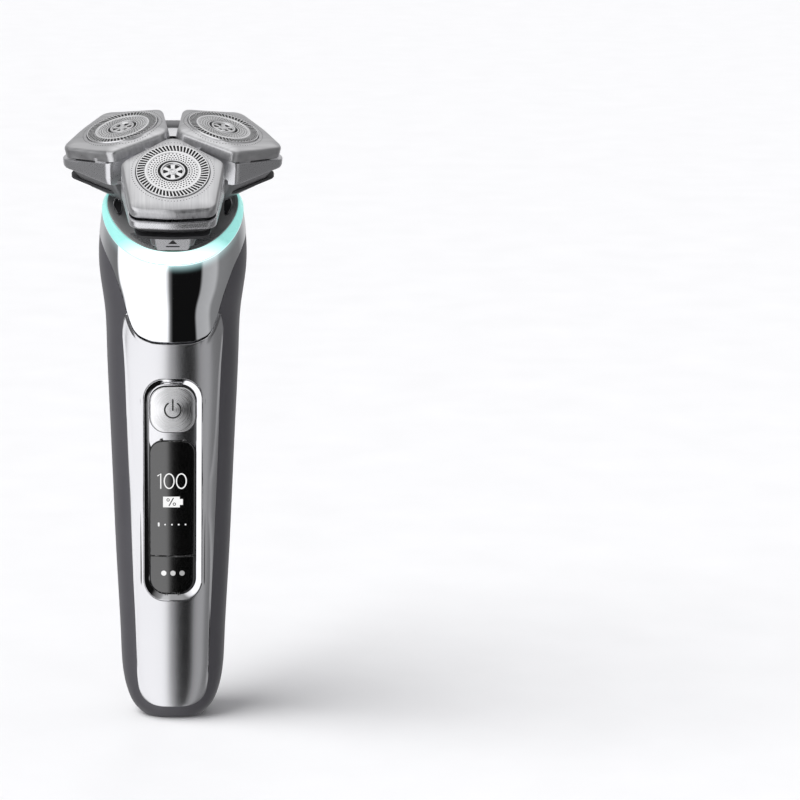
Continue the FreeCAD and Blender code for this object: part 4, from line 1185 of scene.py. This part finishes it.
def build_release():
    """Latch button with a generic arrow-over-bar mark."""
    pose = UNIT @ shift(0, -26.85, -16.75, MM) @ spin(90, "X")
    outline = rounded([(5.3, 2.6), (4.6, -2.6), (-4.6, -2.6), (-5.3, 2.6)], [0.5, 1.1, 1.1, 0.5], 160)
    rows = []
    for scale, h in ((1.0, -1.3), (1.0, -0.4), (0.985, -0.12), (0.95, 0.0), (0.6, 0.0), (0.2, 0.0)):
        rows.append([(x * scale, y * scale, h) for x, y in outline])
    cap = add_piece("release_cap", *capped(rows), "release_button", "satin_silver", matrix=pose,
                    material="rim_silver", closed=True)
    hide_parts("release_button")
    marks = [prism([(-1.3, -0.5), (1.3, -0.5), (0.0, 0.8)], 0.0, 0.03),
             prism([(-1.9, -1.5), (1.9, -1.5), (1.9, -1.1), (-1.9, -1.1)], 0.0, 0.03)]
    add_piece("release_mark", *join(marks), "release_button", "satin_silver", matrix=pose, material="ink_grey",
              closed=True)


for name in LOBES:
    build_plate(name)
    build_cap(name)
build_carrier()
build_base()
build_release()


# ---------------------------------------------------------------- studio

# azimuth in degrees, 0 in front and 90 to the right, and how bright the studio's cards are there
CARDS = [(-180, 0.6), (-140, 0.55), (-118, 0.34), (-100, 0.24), (-86, 0.2), (-78, 0.2), (-74, 1.3), (-4, 1.35),
         (-1, 0.006), (26, 0.006), (29, 0.42), (50, 0.5), (57, 0.24), (90, 0.2), (115, 0.22), (135, 0.4),
         (155, 0.6), (180, 0.6)]


def build_world():
    """Even light for the room; glossy surfaces see cards of different tone round the object."""
    world = bpy.data.worlds.new("studio")
    bpy.context.scene.world = world
    world.use_nodes = True
    nt = world.node_tree
    nt.nodes.clear()
    split = node(nt, "SeparateXYZ", {0: node(nt, "TexCoord").outputs["Generated"]})
    height = split.outputs["Z"]
    azimuth = calc(nt, "ARCTAN2", split.outputs["X"], calc(nt, "MULTIPLY", split.outputs["Y"], -1.0))
    ramp = node(nt, "ValToRGB", {"Fac": spread(nt, azimuth, 0.0, 1.0, math.pi, -math.pi)})
    elements = ramp.color_ramp.elements
    while len(elements) < len(CARDS):
        elements.new(0.5)
    for item, (angle, level) in zip(elements, CARDS):
        item.position = (angle + 180) / 360
        item.color = (level, level, level * 1.01, 1)
    tone = node(nt, "Mix", {0: spread(nt, height, 0.0, 1.0, 0.6, 0.3), 6: ramp.outputs["Color"],
                            7: spread(nt, height, 0.5, 1.2, 1.0, 0.55)}, data_type="RGBA").outputs[2]
    cards = node(nt, "Background", {"Color": tone}).outputs[0]
    room = node(nt, "Background", {"Color": (0.36, 0.36, 0.37, 1)}).outputs[0]
    glossy = node(nt, "LightPath").outputs["Is Glossy Ray"]
    node(nt, "OutputWorld", {0: node(nt, "MixShader", {0: glossy, 1: room, 2: cards}).outputs[0]})


def build_studio():
    """World, key light, pale floor and the camera."""
    build_world()
    sun = bpy.data.lights.new("key", "SUN")
    sun.energy = 3.2
    sun.angle = math.radians(50)
    key = bpy.data.objects.new("key", sun)
    bpy.context.scene.collection.objects.link(key)
    key.rotation_euler = Vector((0.7, 0.3, -1.0)).to_track_quat("-Z", "Y").to_euler()
    key.visible_glossy = False
    bpy.context.scene.view_settings.view_transform = "Standard"
    mesh = bpy.data.meshes.new("floor")
    size = 6.0
    corners = [(-size, -size, 0), (size, -size, 0), (size, size, 0), (-size, size, 0)]
    mesh.from_pydata(corners, [], [(0, 1, 2, 3)])
    floor = bpy.data.objects.new("floor", mesh)
    bpy.context.scene.collection.objects.link(floor)
    pale = finish_material("floor_pale", (0.86, 0.86, 0.87), (0.89, 0.89, 0.9), 0.0, (0.5, 0.6), 30.0, 0.0)
    mesh.materials.append(pale)
    floor.location.z = -0.0002
    floor.visible_glossy = False
    cam = bpy.data.cameras.new("camera")
    cam.lens = 139.9
    cam.shift_x = 0.284
    cam.shift_y = 0.023
    obj = bpy.data.objects.new("camera", cam)
    bpy.context.scene.collection.objects.link(obj)
    target = Vector((0, 0, 0.088))
    rise = math.radians(12)
    obj.location = target + 0.9 * Vector((0, -math.cos(rise), math.sin(rise)))
    obj.rotation_euler = (target - obj.location).to_track_quat("-Z", "Y").to_euler()
    bpy.context.scene.camera = obj


build_studio()
